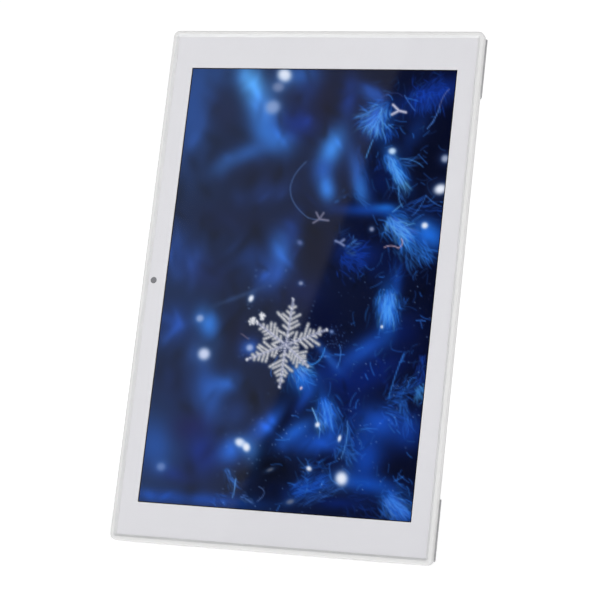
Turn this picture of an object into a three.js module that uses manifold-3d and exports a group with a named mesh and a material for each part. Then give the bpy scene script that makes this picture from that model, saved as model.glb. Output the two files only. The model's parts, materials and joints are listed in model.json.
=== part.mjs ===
// A slim 10.1 inch digital photo frame on its folding, turning stand, standing upright.
//
// Each piece is drawn in the frame's own lying-flat coordinates, in millimetres: X runs across the
// screen, Z up along it, and Y from the front glass (y = 0) towards the back. The origin is in the
// middle of the lower edge. The whole assembly is then leaned back and stood on its feet.

import * as THREE from "three";
import { mergeVertices } from "three/addons/utils/BufferGeometryUtils.js";
import Module from "manifold-3d";

const wasm = await Module();
wasm.setup();

// ---------------------------------------------------------------- driving dimensions

const WIDTH = 160.2;
const HEIGHT = 256;
const CORNER_RADIUS = 3;
const LEAN = THREE.MathUtils.degToRad(19.6);
const CENTRE_Z = HEIGHT / 2;
const CORNER_STEPS = 4;

const ACTIVE_WIDTH = 135.6;
const ACTIVE_HEIGHT = 216.96;
const DARK_EDGE = 0.5;

const GLASS = { halfWidth: 78.7, halfHeight: 126.6, radius: 1.8, front: 0, back: 1.1 };
const PRINT = { front: 1.15, back: 1.3 };
const TAPE = { front: 1.35, back: 1.6, halfWidth: 78.5, halfHeight: 126.4, width: 3 };
const RING_BACK = 4.3;
const LEDGE = { front: 1.65, back: 2.6, halfWidth: 75.2, halfHeight: 116.2 };
const RING_WALL = 1.6;
const RING_LIP_GAP = 0.1;

const LCD = { halfWidth: 71.5, halfHeight: 114 };
const CELL = { front: 1.4, back: 2.4, halfWidth: 70.3, halfHeight: 112.3 };
const FILM = { halfWidth: 69.4, halfHeight: 110.6 };
const TRAY = { front: 4.2, back: 4.45 };
const FLEX_WIDTH = 40;

const CHASSIS = { front: 4.5, back: 5.1, halfWidth: 74, halfHeight: 119.5 };
const STANDOFF_TOP = 6.25;
const BOARD = { left: -24, right: 46, low: 168, high: 252, front: 6.3, back: 7.3 };
const PART_FRONT = BOARD.back + 0.05;

const COVER_FRONT = 4.6;
// Each level of these two lists is a depth and how far inside the outline the surface lies there.
const COVER_TAPER = [
  [COVER_FRONT, 0.1],
  [8.6, 2],
  [9.5, 2.9],
  [10, 4],
  [10.2, 5.6],
];
const COVER_HOLLOW = [
  [2.9, 2.9],
  [8.2, 3],
  [8.7, 3.7],
  [9, 4.8],
];
const TONGUE = { front: 3.2, halfWidth: 78.3, halfHeight: 126.2 };

const POST = { x: 70.5, z: 119, radius: 2.8, top: 8.9, threadRadius: 1.15 };
const CHASSIS_BOSS = { x: 60, z: 120.5, radius: 2.4, top: 4.4 };
const BOSS_ROOT = 0.4;
const SMALL_THREAD_RADIUS = 0.85;
const SMALL_SCREW_HOLE_RADIUS = 0.95;
const SMALL_SHANK_RADIUS = 0.75;
const COVER_SCREW = { neck: 9.6, top: 10.15, tip: 4.2, headRadius: 2, shankRadius: 1 };
const COVER_SCREW_WELL = { front: 9.5, radius: 2.2, holeRadius: 1.2 };

const CAMERA = { x: -74.6, z: CENTRE_Z, windowRadius: 1.6, roomWidth: 5.6, roomHeight: 6.6 };

const KEY_Y = 6.6;
const KEY_HEIGHT = 2;
const KEY_FACE_X = -79.6;
const KEY_FLANGE = { outer: -76.7, inner: -76.3, overhang: 0.7, rise: 0.5 };
const POWER_KEY = { z: 226, length: 9 };
const VOLUME_KEY = { z: 196, length: 20 };
const KEY_GAP = 0.2;
const KEY_EDGE = 0.15;
const KEY_BOARD = { left: -75.1, right: -74.5, front: 5.2, back: 8.3, overhang: 3 };
const KEY_SWITCH = { x: -75.4, size: [0.8, 2.6, 3.6], rockerOffset: 7 };

const USB = { x: 10, width: 9, front: 5.4, back: 8.6, low: 246.4, high: 253.9 };
const CARD = { x: 30, width: 14, back: 8.85, low: 237, high: 250.6 };
const CARD_MOUTH = { halfWidth: 6, front: 7.6, back: 8.8 };
// Each chip is given as x, z, width, height and how far it stands up from the board.
const CHIPS = [
  [3, 206, 14, 14, 1],
  [-8, 196, 9, 12, 0.9],
  [12, 220, 12, 8, 0.9],
  [34, 190, 16, 5, 1.4],
  [30, 214, 7, 7, 1],
  [-16, 176, 8, 4, 1.3],
  [14, 176, 14, 3.4, 1.3],
];
const SHIELD = { left: -14, right: 21, back: 8.75, low: 188, high: 226, sheet: 0.4 };
const BATTERY = { x: -37, z: 70, halfWidth: 31, halfHeight: 40, radius: 2.5, front: 5.3, back: 8.5 };
const SPEAKER = {
  x: 62,
  lower: 32,
  upper: 224,
  halfWidth: 8,
  halfHeight: 11,
  front: 5.3,
  back: 8.1,
  coneRadius: 9,
};
const GRILLE = { rows: 3, columns: 5, pitch: 3, holeRadius: 0.6, holeSides: 8 };

const FOOT_CLEARANCE = 0.3;
const FOOT_POCKET_GAP = 0.1;
const FOOT_LENGTH = 24;
const FOOT_X = 52;
const SIDE_FOOT = { face: 80.5, front: 4.45, turn: 5.5, length: 28.5, inset: 16.8 };

const DISC = { radius: 40, hubRadius: 11.7, hubEnd: 8.75, front: 10.45, floor: 11.45, back: 15.5 };
const LEG = { halfWidth: 18, tipHalfWidth: 14, thickness: 3.6, length: 118, end: 115.3 };
const LEG_FOOT = { radius: 2.6, halfWidth: 14, sides: 16 };
const PIVOT = { y: 13.5, z: CENTRE_Z };
const PIN = { radius: 0.9, holeRadius: 0.98, halfLength: 23 };
const CHANNEL_HALF_WIDTH = LEG.halfWidth + 0.3;
const CHANNEL_ABOVE_PIVOT = 2.6;
const RETAINER = { front: 7.8, back: 8.65, radius: 16.5, middleHole: 3.5 };
const WASHER = { front: 8.72, back: 8.92 };
const SWIVEL_SCREW_RADIUS = 7;

// ---------------------------------------------------------------- solids

function toSolid(geometry) {
  const bare = geometry.clone();
  bare.deleteAttribute("normal");
  bare.deleteAttribute("uv");
  const merged = mergeVertices(bare, 1e-4);
  const mesh = new wasm.Mesh({
    numProp: 3,
    vertProperties: merged.attributes.position.array,
    triVerts: Uint32Array.from(merged.index.array),
  });
  return new wasm.Manifold(mesh);
}

function toGeometry(solid) {
  const mesh = solid.getMesh();
  const geometry = new THREE.BufferGeometry();
  geometry.setAttribute("position", new THREE.BufferAttribute(mesh.vertProperties, mesh.numProp));
  geometry.setIndex(new THREE.BufferAttribute(mesh.triVerts, 1));
  geometry.computeVertexNormals();
  return geometry;
}

function cut(base, ...tools) {
  return tools.reduce((solid, tool) => solid.subtract(toSolid(tool)), toSolid(base));
}

function join(...geometries) {
  return geometries.map(toSolid).reduce((solid, other) => solid.add(other));
}

function box(x, y, z) {
  const geometry = new THREE.BoxGeometry(x[1] - x[0], y[1] - y[0], z[1] - z[0]);
  return geometry.translate((x[0] + x[1]) / 2, (y[0] + y[1]) / 2, (z[0] + z[1]) / 2);
}

function centredBox(centre, size) {
  return new THREE.BoxGeometry(...size).translate(...centre);
}

// A round bar along the depth, from y0 to y1.
function barY(radius, y0, y1, x, z, sides = 16) {
  const geometry = new THREE.CylinderGeometry(radius, radius, y1 - y0, sides);
  return geometry.translate(x, (y0 + y1) / 2, z);
}

function barX(radius, halfLength, y, z, sides = 16) {
  const geometry = new THREE.CylinderGeometry(radius, radius, halfLength * 2, sides);
  return geometry.rotateZ(Math.PI / 2).translate(0, y, z);
}

function roundedShape(halfWidth, halfHeight, radius, x = 0, z = CENTRE_Z) {
  const shape = new THREE.Shape();
  const right = x + halfWidth - radius;
  const left = x - halfWidth + radius;
  const top = z + halfHeight - radius;
  const bottom = z - halfHeight + radius;
  shape.absarc(right, top, radius, 0, Math.PI / 2, false);
  shape.absarc(left, top, radius, Math.PI / 2, Math.PI, false);
  shape.absarc(left, bottom, radius, Math.PI, Math.PI * 1.5, false);
  shape.absarc(right, bottom, radius, Math.PI * 1.5, Math.PI * 2, false);
  return shape;
}

// A flat outline in X and Z, given thickness from y0 to y1.
function slab(shape, y0, y1) {
  const geometry = new THREE.ExtrudeGeometry(shape, {
    depth: y1 - y0,
    bevelEnabled: false,
    curveSegments: CORNER_STEPS,
  });
  return geometry.rotateX(Math.PI / 2).translate(0, y1, 0);
}

// An outline in depth and height, given width along X.
function profileX(points, x0, x1) {
  const shape = new THREE.Shape(points.map(([y, z]) => new THREE.Vector2(y, z)));
  const geometry = new THREE.ExtrudeGeometry(shape, { depth: x1 - x0, bevelEnabled: false });
  const turn = new THREE.Matrix4().set(0, 0, 1, x0, 1, 0, 0, 0, 0, 1, 0, 0, 0, 0, 0, 1);
  return geometry.applyMatrix4(turn);
}

// Rounded rectangles stacked along the depth and skinned, each [y, how far inside the outline].
function loft(levels) {
  const rings = levels.map(([y, inset]) => {
    const radius = CORNER_RADIUS + inset * 0.5;
    const shape = roundedShape(WIDTH / 2 - inset, HEIGHT / 2 - inset, radius);
    const points = shape.getPoints(CORNER_STEPS);
    return points.map((point) => new THREE.Vector3(point.x, y, point.y));
  });
  const count = rings[0].length;
  const triangles = [];
  for (let level = 0; level + 1 < rings.length; level += 1) {
    for (let i = 0; i < count; i += 1) {
      const next = (i + 1) % count;
      const [a, b] = [rings[level][i], rings[level][next]];
      const [c, d] = [rings[level + 1][i], rings[level + 1][next]];
      triangles.push(a, c, b, b, c, d);
    }
  }
  const last = rings[rings.length - 1];
  for (let i = 1; i + 1 < count; i += 1) {
    triangles.push(rings[0][0], rings[0][i], rings[0][i + 1]);
    triangles.push(last[0], last[i + 1], last[i]);
  }
  return new THREE.BufferGeometry().setFromPoints(triangles);
}

function ringSlab(outer, inner, y0, y1) {
  outer.holes.push(inner);
  return slab(outer, y0, y1);
}

// A screw along the depth: its head lies between neck and top, and its shank ends at tip.
function screwShape({ x, z, neck, top, tip, headRadius, shankRadius }) {
  const profile = [
    [0, tip],
    [shankRadius, tip],
    [shankRadius, neck],
    [headRadius, neck],
    [headRadius, top],
    [0, top],
  ];
  const points = profile.map(([r, y]) => new THREE.Vector2(r, y));
  if (top < tip) {
    points.reverse();
  }
  return new THREE.LatheGeometry(points, 12).translate(x, 0, z);
}

// ---------------------------------------------------------------- the assembly and its finishes

const FINISHES = {
  whiteShell: { color: 0xe9e8ea, roughness: 0.42, metalness: 0 },
  whiteInk: { color: 0xe6e6ec, roughness: 0.5, metalness: 0 },
  glass: { color: 0xf2f4f8, roughness: 0.04, metalness: 0 },
  screen: { color: 0x1b3672, roughness: 0.15, metalness: 0 },
  film: { color: 0xf4f4f0, roughness: 0.6, metalness: 0 },
  blackPlastic: { color: 0x1c1d20, roughness: 0.5, metalness: 0 },
  lens: { color: 0x3a3b40, roughness: 0.1, metalness: 0 },
  greyRubber: { color: 0x7f8084, roughness: 0.85, metalness: 0 },
  steel: { color: 0xb4b6ba, roughness: 0.35, metalness: 1 },
  greenBoard: { color: 0x1f5b3c, roughness: 0.45, metalness: 0 },
  battery: { color: 0x9a9ca2, roughness: 0.5, metalness: 0.3 },
  amberFlex: { color: 0xb8762a, roughness: 0.45, metalness: 0 },
};

const assembly = new THREE.Group();

function add(name, shape, finish, parent = assembly) {
  const geometry = shape.isBufferGeometry ? shape : toGeometry(shape);
  const material = new THREE.MeshStandardMaterial(FINISHES[finish]);
  const mesh = new THREE.Mesh(geometry, material);
  mesh.name = name;
  parent.add(mesh);
  return mesh;
}

const SIDES = [
  ["left", -1],
  ["right", 1],
];
const ENDS = [
  ["lower", -1],
  ["upper", 1],
];

// ---------------------------------------------------------------- front

function buildFront() {
  const glass = roundedShape(GLASS.halfWidth, GLASS.halfHeight, GLASS.radius);
  add("cover_glass", slab(glass, GLASS.front, GLASS.back), "glass");

  const print = roundedShape(GLASS.halfWidth, GLASS.halfHeight, GLASS.radius);
  const windowShape = roundedShape(
    ACTIVE_WIDTH / 2 + DARK_EDGE,
    ACTIVE_HEIGHT / 2 + DARK_EDGE,
    0.3,
  );
  const eye = barY(CAMERA.windowRadius, 1, 2, CAMERA.x, CAMERA.z, 24);
  const border = ringSlab(print, windowShape, PRINT.front, PRINT.back);
  add("border_print", cut(border, eye), "whiteInk");

  const tape = roundedShape(TAPE.halfWidth, TAPE.halfHeight, GLASS.radius);
  const tapeInner = roundedShape(TAPE.halfWidth - TAPE.width, TAPE.halfHeight - TAPE.width, 1);
  const tapeRing = ringSlab(tape, tapeInner, TAPE.front, TAPE.back);
  add("glass_tape", cut(tapeRing, cameraRoom(TAPE.front, 3)), "blackPlastic");
}

// The room left for the camera module, centred on a depth.
function cameraRoom(depth, thickness) {
  return centredBox([CAMERA.x, depth, CAMERA.z], [CAMERA.roomWidth, thickness, CAMERA.roomHeight]);
}

function buildMidFrame() {
  const outside = loft([
    [0, 0.62],
    [0.12, 0.3],
    [0.34, 0.1],
    [0.7, 0],
    [RING_BACK - 0.2, 0],
    [RING_BACK, 0.15],
  ]);
  const glassPocket = roundedShape(
    GLASS.halfWidth + RING_LIP_GAP,
    GLASS.halfHeight + RING_LIP_GAP,
    GLASS.radius,
  );
  const aperture = roundedShape(LEDGE.halfWidth, LEDGE.halfHeight, 2);
  const rearPocket = roundedShape(WIDTH / 2 - RING_WALL, HEIGHT / 2 - RING_WALL, CORNER_RADIUS / 2);
  let solid = cut(
    outside,
    slab(glassPocket, -1, LEDGE.front),
    slab(aperture, 0, RING_BACK + 1),
    slab(rearPocket, LEDGE.back, RING_BACK + 1),
    cameraRoom(LEDGE.front, 4),
  );
  for (const [, sideX] of SIDES) {
    for (const [, sideZ] of ENDS) {
      const post = [sideX * POST.x, CENTRE_Z + sideZ * POST.z];
      const boss = [sideX * CHASSIS_BOSS.x, CENTRE_Z + sideZ * CHASSIS_BOSS.z];
      const root = LEDGE.back - BOSS_ROOT;
      const postThread = barY(POST.threadRadius, 3.4, POST.top + 1, ...post, 12);
      const bossThread = barY(SMALL_THREAD_RADIUS, 2.3, CHASSIS_BOSS.top + 1, ...boss, 12);
      solid = solid.add(toSolid(barY(POST.radius, root, POST.top, ...post)));
      solid = solid.subtract(toSolid(postThread));
      solid = solid.add(toSolid(barY(CHASSIS_BOSS.radius, root, CHASSIS_BOSS.top, ...boss)));
      solid = solid.subtract(toSolid(bossThread));
    }
  }
  add("mid_frame", solid, "whiteShell");
}

function buildCamera() {
  const disc = barY(CAMERA.windowRadius - 0.1, PRINT.front + 0.03, PRINT.back, CAMERA.x, CAMERA.z, 24);
  add("camera_window", disc, "lens");
  const module = join(
    barY(2.2, 1.4, 3.8, CAMERA.x, CAMERA.z, 24),
    centredBox([CAMERA.x, 4.75, CAMERA.z], [5, 2.3, 5.6]),
  );
  const lensWell = new THREE.CylinderGeometry(0.5, 1.2, 0.7, 20).translate(CAMERA.x, 1.7, CAMERA.z);
  add("camera_module", module.subtract(toSolid(lensWell)), "blackPlastic");
}

// ---------------------------------------------------------------- display

function buildDisplay() {
  const cell = roundedShape(CELL.halfWidth, CELL.halfHeight, 0.4);
  add("lcd_cell", slab(cell, CELL.front, CELL.back), "screen");

  const low = CENTRE_Z - LCD.halfHeight;
  const frameOuter = slab(roundedShape(LCD.halfWidth, LCD.halfHeight, 0.8), 1.4, 4.15);
  const cellPocket = slab(
    roundedShape(CELL.halfWidth + 0.3, CELL.halfHeight + 0.3, 0.4),
    1,
    CELL.back + 0.05,
  );
  const filmPocket = slab(roundedShape(FILM.halfWidth + 0.3, FILM.halfHeight + 0.3, 0.4), 2, 5);
  const flexNotch = box([-FLEX_WIDTH / 2 - 0.5, FLEX_WIDTH / 2 + 0.5], [1, 2.45], [low - 1, low + 3]);
  add("backlight_frame", cut(frameOuter, cellPocket, filmPocket, flexNotch), "film");

  const film = () => roundedShape(FILM.halfWidth, FILM.halfHeight, 0.4);
  add("optical_films", slab(film(), 2.5, 2.75), "film");
  const guide = roundedShape(FILM.halfWidth, FILM.halfHeight - 1, 0.4, 0, CENTRE_Z + 1);
  add("light_guide", slab(guide, 2.8, 3.9), "glass");
  add("reflector_sheet", slab(film(), 3.95, 4.1), "film");
  buildLedStrip();

  const tray = roundedShape(LCD.halfWidth, LCD.halfHeight, 0.8);
  add("lcd_back_tray", slab(tray, TRAY.front, TRAY.back), "steel");

  const flexFront = 1.9;
  const flexBack = 5.6;
  const flexSheet = 0.15;
  const flexLow = low - 1.1;
  const flexPath = [
    [flexFront, low + 1.6],
    [flexFront, flexLow],
    [flexBack + flexSheet, flexLow],
    [flexBack + flexSheet, low + 2],
    [flexBack, low + 2],
    [flexBack, flexLow + flexSheet],
    [flexFront + flexSheet, flexLow + flexSheet],
    [flexFront + flexSheet, low + 1.6],
  ];
  add("display_flex", profileX(flexPath, -FLEX_WIDTH / 2, FLEX_WIDTH / 2), "amberFlex");

  const driver = join(
    box([-30, 30], [5.2, 6], [low + 2.2, low + 12]),
    box([-8, 8], [5.9, 6.8], [low + 4, low + 10]),
    box([16, 26], [5.9, 7], [low + 5, low + 9]),
  );
  add("display_driver_board", driver, "greenBoard");
  add("display_cable", box([8, 20], [5.15, 5.3], [low + 12.2, BOARD.low - 0.2]), "amberFlex");
}

function buildLedStrip() {
  const low = CENTRE_Z - FILM.halfHeight + 0.1;
  let strip = toSolid(box([-66, 66], [2.85, 3.85], [low, low + 0.5]));
  const lamps = 14;
  for (let i = 0; i < lamps; i += 1) {
    const x = -63 + (126 * i) / (lamps - 1);
    strip = strip.add(toSolid(box([x - 1.5, x + 1.5], [3, 3.7], [low + 0.4, low + 1.6])));
  }
  add("backlight_led_strip", strip, "film");
}

// ---------------------------------------------------------------- chassis and electronics

function buildChassis() {
  const holes = [];
  for (const [, sideX] of SIDES) {
    for (const [, sideZ] of ENDS) {
      const post = [sideX * POST.x, CENTRE_Z + sideZ * POST.z];
      const boss = [sideX * CHASSIS_BOSS.x, CENTRE_Z + sideZ * CHASSIS_BOSS.z];
      holes.push(barY(POST.radius + 0.4, 4, 6, ...post));
      holes.push(barY(SMALL_SCREW_HOLE_RADIUS, 4, 6, ...boss, 12));
    }
  }
  const low = CENTRE_Z - LCD.halfHeight;
  const flexSlot = box([-FLEX_WIDTH / 2 - 1, FLEX_WIDTH / 2 + 1], [4, 6], [low - 2.2, low + 0.4]);
  const sheet = slab(roundedShape(CHASSIS.halfWidth, CHASSIS.halfHeight, 2), CHASSIS.front, CHASSIS.back);
  let plate = cut(sheet, flexSlot, cameraRoom(CHASSIS.front, 3), ...holes);
  for (const spot of boardScrewSpots()) {
    plate = plate.add(toSolid(barY(2.2, CHASSIS.back - 0.3, STANDOFF_TOP, ...spot)));
    plate = plate.subtract(toSolid(barY(SMALL_THREAD_RADIUS, 4, 8, ...spot, 12)));
  }
  add("chassis_plate", plate, "steel");

  let number = 0;
  for (const [, sideX] of SIDES) {
    for (const [, sideZ] of ENDS) {
      number += 1;
      const screw = screwShape({
        x: sideX * CHASSIS_BOSS.x,
        z: CENTRE_Z + sideZ * CHASSIS_BOSS.z,
        neck: CHASSIS.back + 0.05,
        top: CHASSIS.back + 0.7,
        tip: 2.5,
        headRadius: 1.5,
        shankRadius: SMALL_SHANK_RADIUS,
      });
      add(`chassis_screw_${number}`, screw, "steel");
    }
  }
}

function boardScrewSpots() {
  return [
    [BOARD.left + 3, BOARD.low + 3],
    [BOARD.right - 3, BOARD.low + 3],
    [BOARD.left + 3, BOARD.high - 4],
  ];
}

function buildMainBoard() {
  const sheet = slab(
    roundedShape(
      (BOARD.right - BOARD.left) / 2,
      (BOARD.high - BOARD.low) / 2,
      1,
      (BOARD.right + BOARD.left) / 2,
      (BOARD.high + BOARD.low) / 2,
    ),
    BOARD.front,
    BOARD.back,
  );
  const usbLeft = USB.x - USB.width / 2;
  const usbRight = USB.x + USB.width / 2;
  const usbNotch = box([usbLeft - 0.2, usbRight + 0.2], [6, 8], [USB.low - 0.2, BOARD.high + 1]);
  const screwHoles = boardScrewSpots().map((spot) => barY(SMALL_SCREW_HOLE_RADIUS, 6, 8, ...spot, 12));
  let board = cut(sheet, usbNotch, ...screwHoles);
  for (const [x, z, width, height, rise] of CHIPS) {
    const chip = box(
      [x - width / 2, x + width / 2],
      [BOARD.back - 0.2, BOARD.back + rise],
      [z - height / 2, z + height / 2],
    );
    board = board.add(toSolid(chip));
  }
  add("main_board", board, "greenBoard");

  boardScrewSpots().forEach(([x, z], index) => {
    const screw = screwShape({
      x,
      z,
      neck: PART_FRONT,
      top: PART_FRONT + 0.65,
      tip: 5,
      headRadius: 1.6,
      shankRadius: SMALL_SHANK_RADIUS,
    });
    add(`board_screw_${index + 1}`, screw, "steel");
  });

  const { sheet: lidSheet } = SHIELD;
  const lid = box([SHIELD.left, SHIELD.right], [PART_FRONT, SHIELD.back], [SHIELD.low, SHIELD.high]);
  const lidHollow = box(
    [SHIELD.left + lidSheet, SHIELD.right - lidSheet],
    [PART_FRONT - 1, SHIELD.back - lidSheet],
    [SHIELD.low + lidSheet, SHIELD.high - lidSheet],
  );
  add("processor_shield", cut(lid, lidHollow), "steel");
  add("wifi_module", box([-14, -2], [PART_FRONT, 8.8], [232, 244]), "steel");

  const shell = box([usbLeft, usbRight], [USB.front, USB.back], [USB.low, USB.high]);
  const mouth = box(
    [usbLeft + 0.3, usbRight - 0.3],
    [USB.front + 0.3, USB.back - 0.3],
    [USB.low + 1, USB.high + 1],
  );
  const tongue = box([USB.x - 3.3, USB.x + 3.3], [6.65, 7.35], [USB.low + 0.5, USB.high - 0.9]);
  add("usb_port", cut(shell, mouth).add(toSolid(tongue)), "steel");

  const cardShell = box(
    [CARD.x - CARD.width / 2, CARD.x + CARD.width / 2],
    [PART_FRONT, CARD.back],
    [CARD.low, CARD.high],
  );
  const cardMouth = box(
    [CARD.x - 5.7, CARD.x + 5.7],
    [PART_FRONT + 0.35, CARD.back - 0.25],
    [CARD.low + 1, CARD.high + 1],
  );
  add("card_slot", cut(cardShell, cardMouth), "steel");
}

function buildPowerAndSound() {
  const pack = roundedShape(
    BATTERY.halfWidth,
    BATTERY.halfHeight,
    BATTERY.radius,
    BATTERY.x,
    BATTERY.z,
  );
  add("battery_pack", slab(pack, BATTERY.front, BATTERY.back), "battery");
  add("battery_lead", box([-27.6, -24.4], [5.3, 6.2], [110.3, BOARD.low - 0.2]), "blackPlastic");

  for (const [name] of ENDS) {
    const z = SPEAKER[name];
    const body = box(
      [SPEAKER.x - SPEAKER.halfWidth, SPEAKER.x + SPEAKER.halfWidth],
      [SPEAKER.front, SPEAKER.back],
      [z - SPEAKER.halfHeight, z + SPEAKER.halfHeight],
    );
    const cone = new THREE.SphereGeometry(SPEAKER.coneRadius, 24, 12).scale(0.7, 0.07, 1);
    cone.translate(SPEAKER.x, SPEAKER.back, z);
    add(`speaker_${name}`, join(body, cone), "blackPlastic");
  }
  add("speaker_lead_lower", box([58, 60], [5.2, 6], [43.3, 206]), "blackPlastic");
  add("wifi_antenna", box([-70, -40], [8.7, 8.9], [232, 240]), "amberFlex");
}

// ---------------------------------------------------------------- side keys

function keyOpening(key) {
  const half = key.length / 2 + KEY_GAP;
  const rise = KEY_HEIGHT / 2 + KEY_GAP;
  return box([-82, -74], [KEY_Y - rise, KEY_Y + rise], [key.z - half, key.z + half]);
}

// A key cap with its round-ended outline, on a wider flange that keeps it in the cover.
function keySolid(key) {
  const round = KEY_HEIGHT / 2;
  const reach = key.length / 2 - round;
  const shape = new THREE.Shape();
  shape.absarc(reach, 0, round, -Math.PI / 2, Math.PI / 2, false);
  shape.absarc(-reach, 0, round, Math.PI / 2, Math.PI * 1.5, false);
  const cap = new THREE.ExtrudeGeometry(shape, {
    depth: KEY_FLANGE.outer - KEY_FACE_X - KEY_EDGE,
    bevelEnabled: true,
    bevelThickness: KEY_EDGE,
    bevelSize: KEY_EDGE,
    bevelOffset: -KEY_EDGE,
    bevelSegments: 1,
    curveSegments: 6,
  });
  cap.rotateY(Math.PI / 2).translate(KEY_FACE_X + KEY_EDGE, KEY_Y, key.z);
  const flange = centredBox(
    [(KEY_FLANGE.outer + KEY_FLANGE.inner) / 2, KEY_Y, key.z],
    [
      KEY_FLANGE.inner - KEY_FLANGE.outer,
      KEY_HEIGHT + 2 * KEY_FLANGE.rise,
      key.length + 2 * KEY_FLANGE.overhang,
    ],
  );
  return join(cap, flange);
}

function buildKeys() {
  add("power_button", keySolid(POWER_KEY), "whiteShell");
  add("volume_rocker", keySolid(VOLUME_KEY), "whiteShell");
  const low = VOLUME_KEY.z - VOLUME_KEY.length / 2 - KEY_BOARD.overhang;
  const high = POWER_KEY.z + POWER_KEY.length / 2 + KEY_BOARD.overhang;
  const { rockerOffset } = KEY_SWITCH;
  const switches = [POWER_KEY.z, VOLUME_KEY.z - rockerOffset, VOLUME_KEY.z + rockerOffset];
  const strip = box([KEY_BOARD.left, KEY_BOARD.right], [KEY_BOARD.front, KEY_BOARD.back], [low, high]);
  let board = toSolid(strip);
  for (const z of switches) {
    board = board.add(toSolid(centredBox([KEY_SWITCH.x, KEY_Y, z], KEY_SWITCH.size)));
  }
  add("side_key_board", board, "greenBoard");
}

// ---------------------------------------------------------------- rear cover and feet

// The facet of an upright foot, which lies level when the frame leans back.
function footProfile(grow) {
  const facet = (y) => (y - RING_BACK) * Math.tan(LEAN) - FOOT_CLEARANCE;
  return [
    [6.5 - grow, facet(6.5) - grow * 4],
    [9.2, facet(9.2) - grow * 4],
    [9.4 + grow, facet(9.4) + 0.2 - grow * 4],
    [9.4 + grow, 3.4 + grow],
    [6.5 - grow, 1.9 + grow],
  ];
}

// The same facet for use on the long side, as depth and distance out to the side.
function sideFootProfile(grow) {
  const slope = (y) => SIDE_FOOT.face - (y - SIDE_FOOT.turn) * Math.tan(LEAN);
  return [
    [SIDE_FOOT.front - grow, SIDE_FOOT.face + grow * 4],
    [SIDE_FOOT.front - grow, 79 - grow],
    [6, 78.6 - grow],
    [9.4 + grow, 77.1 - grow],
    [9.4 + grow, slope(9.2) - 0.3 + grow * 4],
    [9.2, slope(9.2) + grow * 4],
    [SIDE_FOOT.turn, SIDE_FOOT.face + grow * 4],
  ];
}

function footSolid(sideX, grow) {
  const middle = sideX * FOOT_X;
  const half = FOOT_LENGTH / 2 + grow;
  return profileX(footProfile(grow), middle - half, middle + half);
}

function sideFootSolid(sideZ, grow) {
  const middle = CENTRE_Z + sideZ * (CENTRE_Z - SIDE_FOOT.inset);
  const half = SIDE_FOOT.length / 2 + grow;
  const shape = new THREE.Shape(sideFootProfile(grow).map(([y, x]) => new THREE.Vector2(x, y)));
  const geometry = new THREE.ExtrudeGeometry(shape, { depth: half * 2, bevelEnabled: false });
  return geometry.translate(0, 0, middle - half);
}

function grilleHoles(middle) {
  const holes = [];
  for (let row = 0; row < GRILLE.rows; row += 1) {
    for (let column = 0; column < GRILLE.columns; column += 1) {
      const x = SPEAKER.x + (row - (GRILLE.rows - 1) / 2) * GRILLE.pitch;
      const z = middle + (column - (GRILLE.columns - 1) / 2) * GRILLE.pitch;
      holes.push(barY(GRILLE.holeRadius, 8, 11, x, z, GRILLE.holeSides));
    }
  }
  return holes;
}

function buildCover() {
  const tongueShape = roundedShape(TONGUE.halfWidth, TONGUE.halfHeight, CORNER_RADIUS / 2);
  const tongue = toSolid(slab(tongueShape, TONGUE.front, COVER_FRONT + 0.5));
  let cover = toSolid(loft(COVER_TAPER)).add(tongue);
  const cuts = [
    loft(COVER_HOLLOW),
    barY(DISC.hubRadius + 0.3, 8, 12, 0, CENTRE_Z, 48),
    keyOpening(POWER_KEY),
    keyOpening(VOLUME_KEY),
    box(
      [USB.x - USB.width / 2 - 0.4, USB.x + USB.width / 2 + 0.4],
      [USB.front - 0.3, USB.back + 0.3],
      [250, 260],
    ),
    box(
      [CARD.x - CARD_MOUTH.halfWidth, CARD.x + CARD_MOUTH.halfWidth],
      [CARD_MOUTH.front, CARD_MOUTH.back],
      [250, 260],
    ),
    ...grilleHoles(SPEAKER.lower),
    ...grilleHoles(SPEAKER.upper),
  ];
  for (const [, sideX] of SIDES) {
    for (const [, sideZ] of ENDS) {
      const spot = [sideX * POST.x, CENTRE_Z + sideZ * POST.z];
      cuts.push(barY(COVER_SCREW_WELL.holeRadius, 8, 11, ...spot, 12));
      cuts.push(barY(COVER_SCREW_WELL.radius, COVER_SCREW_WELL.front, 11, ...spot, 16));
    }
    cuts.push(footSolid(sideX, FOOT_POCKET_GAP));
  }
  for (const [, sideZ] of ENDS) {
    cuts.push(sideFootSolid(sideZ, FOOT_POCKET_GAP));
  }
  for (const shape of cuts) {
    cover = cover.subtract(toSolid(shape));
  }
  add("rear_cover", cover, "whiteShell");

  let number = 0;
  for (const [, sideX] of SIDES) {
    for (const [, sideZ] of ENDS) {
      number += 1;
      const screw = screwShape({
        ...COVER_SCREW,
        x: sideX * POST.x,
        z: CENTRE_Z + sideZ * POST.z,
      });
      add(`cover_screw_${number}`, screw, "steel");
    }
  }
  for (const [name, sideX] of SIDES) {
    add(`upright_foot_${name}`, footSolid(sideX, 0), "greyRubber");
  }
  for (const [name, sideZ] of ENDS) {
    add(`side_foot_${name}`, sideFootSolid(sideZ, 0), "greyRubber");
  }
}

// ---------------------------------------------------------------- turning stand

// How far the leg is folded out of its channel, so that its foot just meets the ground.
function legOpening() {
  const cos = Math.cos(LEAN);
  const sin = Math.sin(LEAN);
  const groundDrop = RING_BACK * sin + FOOT_CLEARANCE * cos;
  const pivotHeight = PIVOT.z * cos - PIVOT.y * sin + groundDrop;
  return Math.acos((pivotHeight - LEG_FOOT.radius) / LEG.length) + LEAN;
}

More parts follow.
